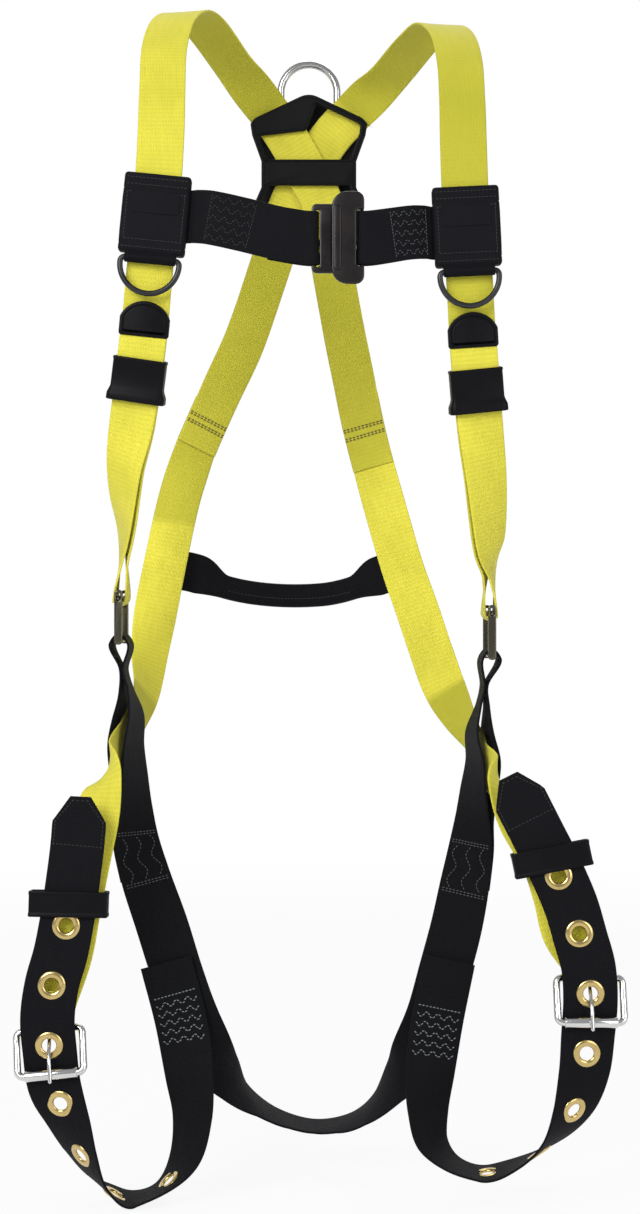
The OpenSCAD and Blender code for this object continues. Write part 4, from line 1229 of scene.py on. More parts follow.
THIGH = {
    Side.RIGHT: Route([drop_side(Side.RIGHT, -1), *table(
        (-186, -37, -666, 0, 1, 0), (-181, -38, -685, 0, 1, 0), (-175, -39, -712, 0.2, 0.98, 0),
        (-177, -41, -742, 0.3, 0.95, 0), (-176, -43, -772, 0.42, 0.9, 0),
        (-176, -44, -802, 0.6, 0.8, 0), (-174, -45, -835, 0.8, 0.6, 0.1),
        (-165, -48, -870, 0.9, 0.4, 0.2), (-148, -56, -917, 0.95, 0.2, 0.3),
        (-132, -65, -964, 0.95, 0, 0.3), (-114, -66, -1013, 0.93, 0.05, 0.36),
        (-99, -62, -1044, 0.77, 0.45, 0.45), (-82, -46, -1070, 0.45, 0.85, 0.3),
        (-61, -26, -1097, 0.1, 1, 0.05), (-32, -4, -1121, 0, 1, 0), (2, 6, -1133, 0, 1, 0),
    )]),
    Side.LEFT: Route([drop_side(Side.LEFT, -1), *table(
        (170, -37, -682, 0, 1, 0), (166, -38, -701, 0, 1, 0), (159, -40, -729, -0.15, 0.98, 0),
        (162, -42, -758, -0.28, 0.96, 0), (160, -43, -787, -0.42, 0.9, 0),
        (159, -44, -815, -0.6, 0.8, 0), (157, -45, -845, -0.8, 0.6, 0.1),
        (151, -48, -880, -0.9, 0.4, 0.2), (142, -56, -921, -0.95, 0.2, 0.25),
        (130, -63, -963, -0.95, 0, 0.28), (116, -66, -1010, -0.93, 0.05, 0.35),
        (100, -61, -1045, -0.77, 0.45, 0.45), (82, -46, -1074, -0.4, 0.87, 0.25),
        (59, -24, -1106, -0.1, 1, 0.05), (34, -4, -1126, 0, 1, 0),
    )]),
}
LUMBAR = Route(table(
    (-172, 87, -562, 0, 0.1, 1), (-148, 88, -564, 0, 0.1, 1), (-122, 91, -569, 0, 0.1, 1),
    (-92, 97, -583, 0.2, 0, 1), (-45, 103, -591, 0, 0, 1), (8, 103, -591, 0, 0, 1),
    (42, 98, -584, -0.2, 0, 1), (70, 90, -571, -0.1, 0.1, 1), (92, 86, -565, 0, 0.1, 1),
    (114, 84, -562, 0, 0.1, 1),
))


def map_flat(mesh: Mesh, frame: Frame) -> Mesh:
    """Gives a mesh the weave map, laid flat on it from outside.

    Args:
        mesh: mesh in place.
        frame: frame whose across and along directions the yarns follow.

    Returns:
        The same mesh.
    """
    layer = mesh.uv_layers.new(name="weave")
    for loop in mesh.loops:
        p = np.array(mesh.vertices[loop.vertex_index].co) - frame.place * MM
        layer.uv[loop.index].vector = (float(p @ (frame.across + frame.normal)), float(p @ frame.along))
    return mesh


def raise_panel(mesh: Mesh, direction: Vec, rim: float, rise: float) -> Mesh:
    """Raises the flat face that looks in a direction, inside a rim.

    Args:
        mesh: plate with that face.
        direction: outward direction of the face.
        rim: width of the rim in millimetres.
        rise: height of the panel, below zero where it is sunk.

    Returns:
        The same mesh.
    """
    bm = bmesh.new()
    bm.from_mesh(mesh)
    out = Vector(direction)
    faces = [f for f in bm.faces if f.normal.dot(out) > 0.999]
    top = max(f.calc_center_median().dot(out) for f in faces)
    faces = [f for f in faces if f.calc_center_median().dot(out) > top - 0.2 * MM]
    for depth, width in ((0.0, rim), (rise, abs(rise))):
        bmesh.ops.inset_region(
            bm, faces=faces, thickness=width * MM, depth=depth * MM, use_even_offset=True)
    bm.to_mesh(mesh)
    bm.free()
    mesh.shade_smooth()
    sharpen(mesh, 35)
    return mesh


def circle(radius: float, count: int = 32) -> list[Flat]:
    """Returns a round outline, counter-clockwise."""
    turns = [2 * pi * k / count for k in range(count)]
    return [(radius * cos(a), radius * sin(a)) for a in turns]


def bush(frame: Frame, outer: float, length: float) -> Mesh:
    """Makes a round bush with soft edges, which turns on a buckle's bar.

    Args:
        frame: place of its middle, with its axis along.
        outer: outer radius.
        length: length of the bush.

    Returns:
        The mesh.
    """
    h, e, bore = length / 2, 0.5, BAR_D / 2 + TURN_GAP
    rise = [(0.0, outer - e), (0.3 * e, outer - 0.3 * e), (e, outer)]
    outside = [(-h + z, r) for z, r in rise] + [(h - z, r) for z, r in rise[::-1]]
    inside = [(h, bore + 0.3), (h - 0.3, bore), (-h + 0.3, bore), (-h, bore + 0.3)]
    shell, hollow = ([(z, circle(r)) for z, r in rings] for rings in (outside, inside))
    return sleeve(shell, hollow, frame, 50)


@dataclass(frozen=True)
class Box:
    """A rounded (across, normal) outline, w wide round x and from y0 to y1, in millimetres."""

    w: float
    y0: float
    y1: float
    r: float
    x: float = 0.0

    def grown(self, d: float) -> list[Flat]:
        """Returns the outline, grown by d on all sides."""
        corners = rectangle(self.w + 2 * d, self.y1 - self.y0 + 2 * d, self.x, (self.y0 + self.y1) / 2)
        return fillet(corners, max(self.r + d, 0.4))

    def stacked(self, layers: Outline) -> list[tuple[float, list[Flat]]]:
        """Returns the outline at heights, each with how far it is grown there."""
        return [(z, self.grown(d)) for z, d in layers]


def swung(frame: Frame, direction: Sequence[float]) -> Frame:
    """Returns the frame turned round its across axis, so that it runs along a local direction."""
    along = unit(direction[1] * frame.normal + direction[2] * frame.along)
    return Frame(frame.place, frame.across, np.cross(along, frame.across), along)


def turned(frame: Frame, angle: float) -> Frame:
    """Returns a frame turned about its normal by an angle in degrees."""
    c, s, x, z = cos(radians(angle)), sin(radians(angle)), frame.across, frame.along
    return Frame(frame.place, c * x - s * z, frame.normal, s * x + c * z)


def along_across(frame: Frame) -> Frame:
    """Returns the frame turned so that it runs along the strap's across direction."""
    return Frame(frame.place, frame.normal, frame.along, frame.across)


def d_path(width: float, bar: float, leg: float, corner: float) -> list[Flat]:
    """Returns the middle line of a D-ring with its straight bar at height 0 and its bow below.

    Args:
        width: width between the legs.
        bar: thickness of the bar.
        leg: length of the straight legs.
        corner: bend of the two corners.

    Returns:
        Points (across, up).
    """
    r = (width + bar) / 2
    c = min(corner, leg)
    line = [(x, 0.0) for x in np.linspace(-(r - c), r - c, 12)]
    quarter = [radians(a) for a in range(15, 91, 15)]
    right = [(r - c + c * sin(a), -c + c * cos(a)) for a in quarter]
    half = [radians(a) for a in range(0, 181, 5)]
    bow = [(r * cos(a), -leg - r * sin(a)) for a in half]
    legs = [(r, y) for y in np.linspace(-c, -leg, 4)[1:-1]] if leg > c + 1 else []
    left = [(-x, y) for x, y in [*right[1:], *legs][::-1]]
    return [*line, *right, *legs, *(bow[1:-1] if leg <= c else bow), *left]


def ring_loop(bar: float) -> float:
    """Returns the middle radius of webbing that lies close round a ring's bar."""
    return bar / 2 + TURN_GAP + WEB_T / 2


@dataclass
class Sided:
    """A sub-assembly that the harness has on both sides."""

    side: Side

    def named(self, part: str) -> str:
        """Returns the side's name of a part."""
        return f"{self.side.value}_{part}"


@dataclass
class Sewn:
    """A sub-assembly with sewn webbing, whose thread the stitch tree makes."""

    stitches: StitchTree


@dataclass
class ShoulderStrap(Sewn, Sided):
    """One length of yellow webbing: tail, hip loop, front, shoulder and back, with its tab and keeper.

    Sizes are in millimetres, and places are route places of the front.
    """

    seam_rows: tuple[float, float]
    tail_top: float = 7.23
    tail_spread: float = 1.5
    turn_points: int = 10
    keeper_at: float = 6.0
    tab_h: float = 34.0
    tab_half: float = 24.1
    tab_r: float = 26.1
    tab_above: float = 18.0
    tab_t: float = 5.4
    keeper_h: float = 42.0
    keeper_wall: float = 2.2
    lip_h: float = 11.0
    lip_out: float = 3.0
    slide_gap: float = 0.8

    def route(self) -> Route:
        """Joins the tail and the turn round the hip buckle's bar, turn_points in all, to the front.

        Returns:
            The whole route, from the tail's end to the cut end on the back.
        """
        front, bar = FRONT[self.side], hip_bar(self.side, 1)
        tail = [front.lifted(i, TAIL_OFFSET) for i in (self.tail_top, 7, 6, 5, 4, 3, 2)]
        tail.append(front.lifted(1, TAIL_OFFSET + self.tail_spread))
        turn = [bar + vec(OUTWARD[self.side] * LOOP_R, 0, 0), bar - vec(0, 0, LOOP_R)]
        return Route([*tail, *[(p, front.points[0][1]) for p in turn], *front.points])

    def tone(self, ribbon: Ribbon) -> Tone:
        """Makes the tone, painted shade: dull on the inner face behind the shoulder, bright inside the
        dorsal pad.

        Args:
            ribbon: the whole strap.

        Returns:
            The tone along both faces.
        """
        places = [0, 7, 12, 19, 22, 24, 26, 28.15, 28.4, 31.2, 32, 34, 36.5]
        # Painted shade: the left strap's front is duller, as on the side away from the key light.
        chest, top = (0.35, 0.24) if self.side is Side.RIGHT else (0.95, 0.5)
        # Painted shade on the inner face behind the shoulder, darkest by the dorsal pad; none inside the
        # pad.
        tones = {
            Face.INNER: [0.1, 0.15, 0.5, 0.5, 0.5, 0.5, 0.75, 0.9, 0.0, 0.0, 0.85, 0.7, 0.55],
            Face.OUTER: [0.1, 0.15, 0.2, 0.8 * chest, chest, top, top, 0.2, 0.2, 0.2, 0.3, 0.3, 0.3],
        }
        marks = [ribbon.length_at(x) for x in places]
        return lambda s, face: float(np.interp(s, marks, tones[face]))

    def build(self) -> None:
        """Builds the webbing, its seam, the end tab and the keeper."""
        ribbon = Ribbon(self.route(), MAIN_W)
        web = ribbon.mesh(self.tone(ribbon))
        piece(self.named("shoulder_webbing"), web, YELLOW_WEB, self.named("shoulder_strap"))
        rows = [
            line_across(ribbon, ribbon.length_at(x + self.turn_points) + d, MAIN_W / 2 - 2, face)
            for x in self.seam_rows for d in (-1.2, 1.2) for face in Face
        ]
        self.stitches.sew(self.named("back_seam_stitches"), rows, OLIVE_THREAD, stitch=3.4, width=1.8)
        self.build_tab()
        self.build_keeper()

    def build_tab(self) -> None:
        """Builds the dome-shaped tab on the tail's end."""
        half, r, foot, h = self.tab_half, self.tab_r, -self.tab_h, self.tab_t / 2
        turns = np.radians(np.linspace(-67.4, 67.4, 33))
        dome = [(r * sin(a), r * cos(a) - r) for a in turns]
        feet = fillet([(half, -20.0), (half, foot), (-half, foot), (-half, -20.0)], [0.1, 3, 3, 0.1])
        outline = [*dome, *feet[7:-7]][::-1]
        frame = FRONT[self.side].at(self.tail_top).moved((0, TAIL_OFFSET, self.tab_above))
        layers = [(1.2, -h), (0.35, 0.35 - h), (0, 1.2 - h), (0, h - 1.4), (0.4, h - 0.4), (1.2, h),
                  (3.0, h), (3.4, h - 0.5), (4.0, h - 0.5), (4.5, h + 0.1), (5.5, h + 0.3)]
        tab = moulding(outline, layers, frame)
        piece(self.named("tail_end_tab"), tab, PLASTIC, self.named("end_tab"))

    def build_keeper(self) -> None:
        """Builds the sleeve with a flared lip that holds the tail."""
        room = WEB_T / 2 + 3 * self.slide_gap
        box = Box(MAIN_W + 2 * self.slide_gap, -room, TAIL_OFFSET + room, 1.0)
        h, wall = self.keeper_h / 2, self.keeper_wall
        foot, lip = -h + self.lip_h, wall + self.lip_out
        outside = [
            (-h, lip - 1.0), (-h + 0.5, lip - 0.25), (-h + 1.4, lip), (foot - 4.5, lip - 0.2),
            (foot - 2.0, lip - 1.2), (foot, wall + 0.9), (foot + 3, wall), (h - 3.2, wall),
            (h - 2.6, wall + 0.5), (h - 1.0, wall + 0.5), (h - 0.3, wall + 0.1), (h, wall - 0.6),
        ]
        inside = [(h, 0.7), (h - 0.8, 0.0), (-h + 0.8, 0.0), (-h, 0.8)]
        frame = FRONT[self.side].at(self.keeper_at)
        mesh = sleeve(box.stacked(outside), box.stacked(inside), frame, 60)
        moving_piece(self.named("tail_sleeve"), mesh, PLASTIC, self.named("tail_keeper"))


@dataclass
class ChestCover(Sewn, Sided):
    """A cloth cover over the shoulder strap, with a lanyard ring hung in a loop below it."""

    at: float = 9.25
    w: float = 64.0
    h: float = 76.0
    front: float = 8.5
    back: float = -6.5
    slot_w: float = 47.0
    slot_t: float = 7.0
    patch_lift: float = 0.35
    ring_bar: float = 5.5
    ring_w: float = 51.0
    ring_leg: float = 5.0
    ring_corner: float = 4.5
    ring_y: float = 6.6
    ring_z: float = -43.5

    def __post_init__(self) -> None:
        """Places the cover on the strap."""
        self.frame = FRONT[self.side].at(self.at)

    def build(self) -> None:
        """Builds the cover, its bare patch and stitching, the loop and the ring."""
        self.build_cover()
        self.build_patches()
        self.build_loop()
        pivot = self.frame.moved((0, self.ring_y, self.ring_z))
        line = d_path(self.ring_w, self.ring_bar, self.ring_leg, self.ring_corner)
        ring = tube([pivot.point((x, 0, z)) for x, z in line], self.ring_bar / 2, True)
        moving_piece(self.named("lanyard_d_ring"), ring, BLACK_STEEL, self.named("lanyard_ring"))

    def build_cover(self) -> None:
        """Builds the crowned sleeve."""
        h, t = self.h / 2, self.slot_t / 2
        hem = [(0.0, -2.2), (0.5, -1.2), (1.4, -0.5), (3.0, 0.0), (7.0, 0.0), (8.0, -0.45), (9.0, 0.0)]
        rise = [(-h + z, d) for z, d in hem] + [(z, 0.25) for z in (-18.0, 0.0, 14.0)]
        rise += [(h - 16.0, 0.0), (h - 15.0, -0.5), (h - 14.0, 0.1)] + [(h - z, d) for z, d in hem[3::-1]]
        inside = [(h, 1.0), (h - 1.0, 0.0), (-h + 1.0, 0.0), (-h, 1.0)]
        outer, slot = Box(self.w, self.back, self.front, 4.2), Box(self.slot_w, -t, t, 1.5)
        mesh = sleeve(outer.stacked(rise), slot.stacked(inside), self.frame, 65)
        cloth = map_flat(mesh, self.frame)
        piece(self.named("cover_sleeve"), cloth, COVER_CLOTH, self.named("chest_cover"))

    def build_patches(self) -> None:
        """Builds the bare patch and the stitch rows on the cover's front."""
        face = self.frame.moved((0, self.front + self.patch_lift, 0))
        patch = plate([fillet(rectangle(46.0, 21.0, 0.0, 10.0), 2.0)], 1.2, 0.4, face)
        piece(self.named("cover_patch"), map_flat(patch, self.frame), COVER_CLOTH)
        a, b = self.w / 2 - 4.5, self.h / 2
        lines = [[(-a, b - 19), (-a, -b + 12), (a, -b + 12), (a, b - 19), (-a, b - 19)]]
        lines += [[(-a, z), (a, z)] for z in (b - 5, b - 11.5, -b + 4.5)]
        rows = [[(face.point((x, 0, z)), face.normal) for x, z in line] for line in lines]
        self.stitches.sew(self.named("cover_stitches"), rows, BLACK_THREAD, width=0.8, slot=Slot.COVER)

    def build_loop(self) -> None:
        """Builds the webbing loop that the ring's bar lies in."""
        r, y, z = ring_loop(self.ring_bar), self.ring_y, self.ring_z
        turn = [(5.8, -35.0), (8.6, -39.2), (y + r, z), (y, z - r), (y - r, z),
                (2.9, -39.0), (3.4, -35.0)]
        route = Route([(self.frame.point((0, *p)), self.frame.across) for p in turn])
        loop = Ribbon(route, self.ring_w - 2, steps=8, ripple=0.0).mesh(even_tone(0.2, 0.2))
        piece(self.named("ring_webbing"), loop, BLACK_WEB, self.named("ring_loop"))


@dataclass
class ChestJoin(Sewn):
    """The two chest straps and the two-plate buckle that joins them."""

    y: float = -124.0
    z: float = -254.0
    frame_x: float = 2.0
    plate_x: float = 48.0
    plate_t: float = 4.0
    loop_r: float = 4.1
    sewn_return: float = 40.0
    slot_h: float = 54.0
    slot_w: float = 3.5
    bar_r: float = 1.75
    frame_w: float = 38.0
    frame_h: float = 66.0
    frame_rim: float = 12.0
    long_w: float = 31.0
    long_h: float = 88.0
    rise: float = 5.2
    cheek_h: float = 7.0

    def turn(self, x: float, s: float) -> list[RoutePoint]:
        """Makes a chest strap's end round a bar.

        Args:
            x: place of the bar.
            s: 1 or -1, the side that the strap goes to.

        Returns:
            The route's last points.
        """
        r = self.loop_r
        bend = [(-s * 9, -r, 0.5), (0, -r, 0), (s * r, 0, 0.5), (0, r, 0), (-s * 9, r, 0.5),
                (-s * self.sewn_return, r + 1.5, 6)]
        return [(vec(x, self.y, self.z) + vec(*p), vec(0, 0, 1)) for p in bend]

    def build(self) -> None:
        """Builds the straps, their stitching and the buckle."""
        right = table(
            (-122, -110, -230.5, 0.09, 0, 1), (-116, -112.5, -231, 0.09, 0, 1),
            (-110, -117, -231.5, 0.09, 0, 1), (-96, -124, -234, 0.09, 0, 1),
            (-66, -127, -241, 0.09, 0, 1), (-34, -128, -249, 0.09, 0, 1))
        left = table(
            (121, -110, -246.5, -0.04, 0, 1), (114.5, -112.5, -246.5, -0.04, 0, 1),
            (108.5, -117, -246.5, -0.04, 0, 1), (96, -124, -248, -0.04, 0, 1),
            (76, -127, -251, -0.04, 0, 1))
        self.build_strap("right_chest", [*right, *self.turn(self.frame_x, 1)], (30, 68), BLACK_THREAD)
        self.build_strap("left_chest", [*left, *self.turn(self.plate_x, -1)], (16, 46), DARK_THREAD)
        self.build_frame()
        self.build_plate()

    def build_strap(self, name: str, points: list[RoutePoint], sewn: Flat, thread: Finish) -> None:
        """Builds a strap, with wavy rows of thread by its cover.

        Args:
            name: first part of the pieces' names.
            points: the strap's route.
            sewn: lengths of strap at which the rows start and stop.
            thread: finish of the thread.
        """
        ribbon, half, (first, last) = Ribbon(Route(points), LEG_W), LEG_W / 2 - 5, sewn
        piece(f"{name}_webbing", ribbon.mesh(even_tone(0.25, 0.25)), BLACK_WEB, f"{name}_strap")
        face = ribbon.face_at(40, -1)
        spread = np.linspace(-half + 2, half - 2, 5)
        rows = [wave_along(ribbon, first, last, x, face, 3.5, 2.6) for x in spread]
        rows += [line_across(ribbon, s, half, face) for s in (first - 2, last + 2)]
        self.stitches.sew(f"{name}_stitches", rows, thread, stitch=2.6, width=0.8)

    def build_frame(self) -> None:
        """Builds the slotted frame behind the long plate."""
        e, bar = self.plate_t / 2, self.bar_r
        slot_end = e + self.slot_w
        window = (slot_end + self.frame_rim, self.frame_w - e - self.frame_rim)
        outlines = [
            fillet(rectangle(self.frame_w, self.frame_h, self.frame_w / 2 - e), 5.0),
            fillet(rectangle(slot_end - bar, self.slot_h, (slot_end + bar) / 2), 1.5),
            fillet(rectangle(window[1] - window[0], self.slot_h, sum(window) / 2), 2.5),
        ]
        mesh = plate(outlines, self.plate_t, 1.5, upright(self.frame_x, self.y, self.z))
        piece("chest_slot_frame", mesh, BARE_STEEL, "chest_buckle_frame")

    def build_plate(self) -> None:
        """Builds the long plate with its rib, its strap bar and the two cheeks that carry the bar."""
        t, rise, bar = self.plate_t, self.rise, self.slot_h / 2
        at = upright(self.plate_x, self.y, self.z)
        left, right, top = t / 2 - self.long_w, t / 2, self.long_h / 2
        inner = -self.slot_w - t / 2
        corners = [(left, -top), (right, -top), (right, -bar), (inner, -bar),
                   (inner, bar), (right, bar), (right, top), (left, top)]
        outline = fillet(corners, [15, 12, 1.5, 3, 3, 1.5, 12, 15])
        ridge = fillet(rectangle(7.0, self.long_h - 26, left + 5.5), 3.4)
        parts = [plate([outline], t, 1.6, at.moved((0, -rise, 0))),
                 plate([ridge], 3.0, 1.2, at.moved((0, -rise - t / 2, 0)))]
        for s in (-1, 1):
            a, b = s * bar, s * (bar + self.cheek_h)
            cheek = fillet([(inner, a), (right, a), (right, b), (inner, b)][::s], 1.2)
            parts.append(plate([cheek], rise + t - 0.6, 0.8, at.moved((0, -rise / 2 + 0.3, 0))))
        rod = [at.point((0, 0, z)) for z in np.linspace(-bar - 4, bar + 4, 6)]
        mesh = merged([*parts, tube(rod, self.bar_r, False)], 40)
        moving_piece("chest_long_plate", mesh, DARK_STEEL, "chest_buckle_plate")


@dataclass
class DorsalPad(Sewn):
    """The two plates that hold the crossed straps on the back, with the dorsal ring."""

    x: float = -4.0
    y: float = 120.0
    top: float = -51.0
    room: float = 12.0
    plate_t: float = 4.0
    ring_bar: float = 8.0
    ring_w: float = 53.0
    ring_h: float = 80.0
    ring_corner: float = 7.0
    pivot_y: float = 136.75
    pivot_z: float = -98.0
    half: tuple[Flat, ...] = (
        (57, -27), (63, -33), (61, -46), (51, -74), (51, -102), (58, -118), (58, -157), (51, -165))
    upper_window: tuple[Flat, ...] = (
        (6, -10.6), (8, -14), (-3, -41), (-54, -47), (-44.2, -72), (44.2, -72), (54.2, -44.3),
        (55.5, -35.4), (52.9, -32.8))
    lower_window: tuple[Flat, ...] = (
        (44, -100), (-44, -100), (-44, -103.5), (-51, -119.5), (-51, -154.4), (-47.8, -158),
        (47.8, -158), (51, -154.4), (51, -119.5), (44, -103.5))

    def outline(self, d: float) -> list[Flat]:
        """Makes the pad's outline.

        Args:
            d: how far it is drawn in.

        Returns:
            The outline, counter-clockwise.
        """
        right = [(x - d, min(y, -d) + (d if y < -150 else 0)) for x, y in self.half]
        corners = [(0.0, -d), *right, *[(-x, y) for x, y in right[::-1]]]
        return fillet(corners[::-1], [5] * 16 + [22])

    def build(self) -> None:
        """Builds both plates, the ring's loop and the ring."""
        upper = fillet(self.upper_window, [2, 3, 4, 3, 4, 4, 6, 4, 3])
        front = [self.outline(0.0), upper, fillet(self.lower_window, 4.0)]
        plates = (
            ("dorsal_front_plate", -1, front, (1.2, -0.5), "dorsal_pad"),
            ("dorsal_rear_plate", 1, [self.outline(2.0)], (6.0, 0.4), "dorsal_back_plate"),
        )
        for name, way, outlines, panel, node in plates:
            at = upright(self.x, self.y + way * (self.room + self.plate_t) / 2, self.top)
            mesh = plate(outlines, self.plate_t, 1.6, at)
            piece(name, raise_panel(mesh, vec(0, way, 0), *panel), PAD_PLASTIC, node)
        self.build_loop()
        line = d_path(self.ring_w, self.ring_bar, self.ring_h - self.ring_w / 2, self.ring_corner)
        path = [vec(self.x + x, self.pivot_y, self.pivot_z - z) for x, z in line]
        ring = tube(path, self.ring_bar / 2, True, 24)
        moving_piece("dorsal_ring_forging", ring, FORGED_STEEL, "dorsal_d_ring")

    def build_loop(self) -> None:
        """Builds the webbing loop round the ring's bar, sewn down on the rear plate."""
        r, y, z = ring_loop(self.ring_bar), self.pivot_y, self.pivot_z
        flat = y - r
        turn = [(flat, z - 44), (flat, z - 20), (flat, z), (y, z + r), (y + r, z),
                (y + 1.0, z - 11), (flat + 3.2, z - 22), (flat + 3.0, z - 44)]
        route = Route([(vec(self.x, *p), vec(-1, 0, 0)) for p in turn])
        ribbon = Ribbon(route, self.ring_w - 2, steps=8, ripple=0.0)
        loop = ribbon.mesh(even_tone(0.2, 0.2))
        piece("dorsal_ring_webbing", loop, BLACK_WEB, "dorsal_ring_loop")
        end, half = float(ribbon.lengths[-1]), self.ring_w / 2 - 5
        face = ribbon.face_at(end - 8, 1)
        rows = [wave_across(ribbon, end - d, half, face, 4.0, 1.6) for d in (4, 9, 14, 19)]
        self.stitches.sew("dorsal_loop_stitches", rows, GREY_THREAD, stitch=2.6, width=0.8)


@dataclass
class LegBuckle(Sided):
    """A steel frame with a roller and a tongue, set on a leg strap's frame."""

    at: float
    bar_gap: float = 38.0
    side_room: float = 2.0
    roller_d: float = 10.0
    roller_short: float = 2.0
    tongue_d: float = 3.8
    tongue_w: float = 7.0
    eye_wall: float = 2.4
    corner_r: float = 5.5
    flange_t: float = 0.9
    grommet_over: float = 6.5
    knee_under: float = 9.0
    knee_out: float = 2.0
    pin_start: Flat = (3.85, -6.2)
    tip_out: float = 1.4
    tip_down: float = 4.0

    def __post_init__(self) -> None:
        """Places the two bars, in the strap's frame."""
        self.frame = LEG[self.side].at(self.at)
        self.half_w = LEG_W / 2 + self.side_room + BAR_D / 2
        face = WEB_T / 2 + self.flange_t + PART_GAP
        self.front_bar = vec(0, -(face + self.roller_d / 2), -self.bar_gap / 2)
        self.eye_r = BAR_D / 2 + TURN_GAP + self.eye_wall
        self.rear_bar = vec(0, face + PART_GAP + max(self.eye_r, LOOP_R + WEB_T / 2), self.bar_gap / 2)

    def build(self) -> None:
        """Builds the frame, the roller and the tongue."""
        reach = self.rear_bar - self.front_bar
        lean = swung(self.frame.moved((self.front_bar + self.rear_bar) / 2), reach)
        corners = fillet(rectangle(2 * self.half_w, float(np.linalg.norm(reach))), self.corner_r)
        path = [lean.point((x, 0, z)) for x, z in self.spaced(corners)]
        frame = tube(path, BAR_D / 2, True, 24)
        piece(self.named("leg_buckle_frame"), frame, BRIGHT_STEEL, self.named("leg_buckle"))
        axle = along_across(self.frame.moved(self.front_bar))
        roller = bush(axle, self.roller_d / 2, LEG_W - self.roller_short)
        moving_piece(self.named("leg_roller"), roller, BRIGHT_STEEL, self.named("leg_buckle_roller"))
        self.build_tongue()

    def spaced(self, outline: Outline) -> list[Flat]:
        """Divides the sides of a closed outline.

        Args:
            outline: outline in millimetres.

        Returns:
            The outline with points about every three millimetres.
        """
        out: list[Flat] = []
        for (a, b), (c, d) in zip(outline, [*outline[1:], outline[0]]):
            count = max(1, round(hypot(c - a, d - b) / 3))
            out += [(a + (c - a) * k / count, b + (d - b) * k / count) for k in range(count)]
        return out

    def build_tongue(self) -> None:
        """Builds the tongue: an eye on the rear bar and a bent round pin that lies on the roller."""
        r = self.tongue_d / 2
        start = self.rear_bar + vec(0, self.pin_start[0] - self.eye_r, self.pin_start[1])
        knee = vec(0, self.front_bar[1] - self.knee_out, self.grommet_over - self.knee_under)
        tip = self.front_bar + vec(0, -self.roller_d / 2 - r - PART_GAP - self.tip_out, -self.tip_down)
        bend = [
            knee + (start - knee) * 0.35 * (1 - t) ** 2 + (tip - knee) * 0.3 * t**2
            for t in np.linspace(0, 1, 8)
        ]
        pin = tube([self.frame.point(p) for p in (start, *bend, tip)], r, False, 16)
        axle = along_across(self.frame.moved(self.rear_bar))
        mesh = merged([pin, bush(axle, self.eye_r, self.tongue_w)], 50)
        moving_piece(self.named("leg_tongue"), mesh, BRIGHT_STEEL, self.named("leg_buckle_tongue"))


@dataclass
class LegStrap(Sewn, Sided):
    """Black leg webbing with grommets, a pointed tip, a keeper and its buckle."""

    grommets: GrommetTree
    buckle_at: float
    keeper_at: float
    keeper_turn: float
    grommet_pitch: float = 57.0
    grommet_count: int = 7
    grommets_above: int = 2
    hole_r: float = 7.5
    tip: float = 24.0
    tip_narrow: float = 0.62
    hem_h: float = 46.0
    keeper_h: float = 24.0
    keeper_depth: float = 17.0
    keeper_front: float = 2.8
    keeper_in: float = 8.0
    keeper_out: float = 11.0
    keeper_wall: float = 2.2

    def build(self) -> LegBuckle:
        """Builds the strap and what is on it.

        Returns:
            The buckle, whose rear bar the seat strap goes round.
        """
        buckle = LegBuckle(self.side, self.buckle_at)
        ribbon = Ribbon(LEG[self.side], LEG_W)
        end = float(ribbon.lengths[-1])
        top = ribbon.length_at(self.buckle_at) + buckle.grommet_over
        steps = [self.grommets_above - k for k in range(self.grommet_count)]
        frames = [ribbon.frame_after(top + k * self.grommet_pitch) for k in steps]

        def width(s: float) -> float:
            """Returns the width after a length of strap, which narrows at the tip."""
            return LEG_W * (1 - self.tip_narrow * max(0.0, (s - end + self.tip) / self.tip))

        web = new_object(self.named("leg_webbing"), ribbon.mesh(even_tone(0.2, 0.3), width))
        hole = circle(self.hole_r, 24)
        drills = [
            lofted([[f.point((x, -y, z)) for x, z in hole] for y in (-4, 4)]) for f in frames
        ]
        finished(cut(web, merged(drills)), BLACK_WEB, self.named("leg_strap"))
        points = [[(f.place, f.normal)] for f in frames]
        spots = carrier(self.named("leg_grommets"), points, [f.along for f in frames])
        finished(self.grommets.run(spots, BRASS, {}), BRASS, self.named("grommets"))
        self.sew_tip(ribbon, end)
        self.build_keeper()
        buckle.build()
        return buckle

    def sew_tip(self, ribbon: Ribbon, end: float) -> None:
        """Sews the hem of the pointed tip.

        Args:
            ribbon: the strap.
            end: its whole length.
        """
        half, neck, low = LEG_W / 2 - 3, end - self.tip, end - self.hem_h
        hem = [(-half, low), (-half, neck), (-7, end - 4), (7, end - 4), (half, neck), (half, low)]
        rows = [
            [ribbon.on(s + (t - s) * k, x + (y - x) * k, Face.INNER) for k in np.linspace(0, 1, 9)]
            for (x, s), (y, t) in zip(hem, [*hem[1:], hem[0]])
        ]
        self.stitches.sew(self.named("tip_stitches"), rows, BLACK_THREAD, width=0.8)

    def build_keeper(self) -> None:
        """Builds the loop that holds the strap's end to the seat strap."""
        x = OUTWARD[self.side] * (self.keeper_out - self.keeper_in) / 2
        w, h = LEG_W + self.keeper_in + self.keeper_out, self.keeper_h / 2
        box = Box(w, -self.keeper_front, self.keeper_depth, 1.2, x)
        rim = [(0.0, -0.7), (0.25, -0.2), (0.8, 0.0), (3.2, 0.0), (3.7, -0.35), (4.3, -0.35)]
        outside = [(-h + z, self.keeper_wall + d) for z, d in rim]
        outside += [(-z, d) for z, d in outside[::-1]]
        inside = [(h, 0.5), (h - 0.6, 0.0), (-h + 0.6, 0.0), (-h, 0.5)]
        frame = turned(LEG[self.side].at(self.keeper_at), self.keeper_turn)
        mesh = sleeve(box.stacked(outside), box.stacked(inside), frame, 60)
        moving_piece(self.named("leg_sleeve"), mesh, PLASTIC, self.named("leg_keeper"))


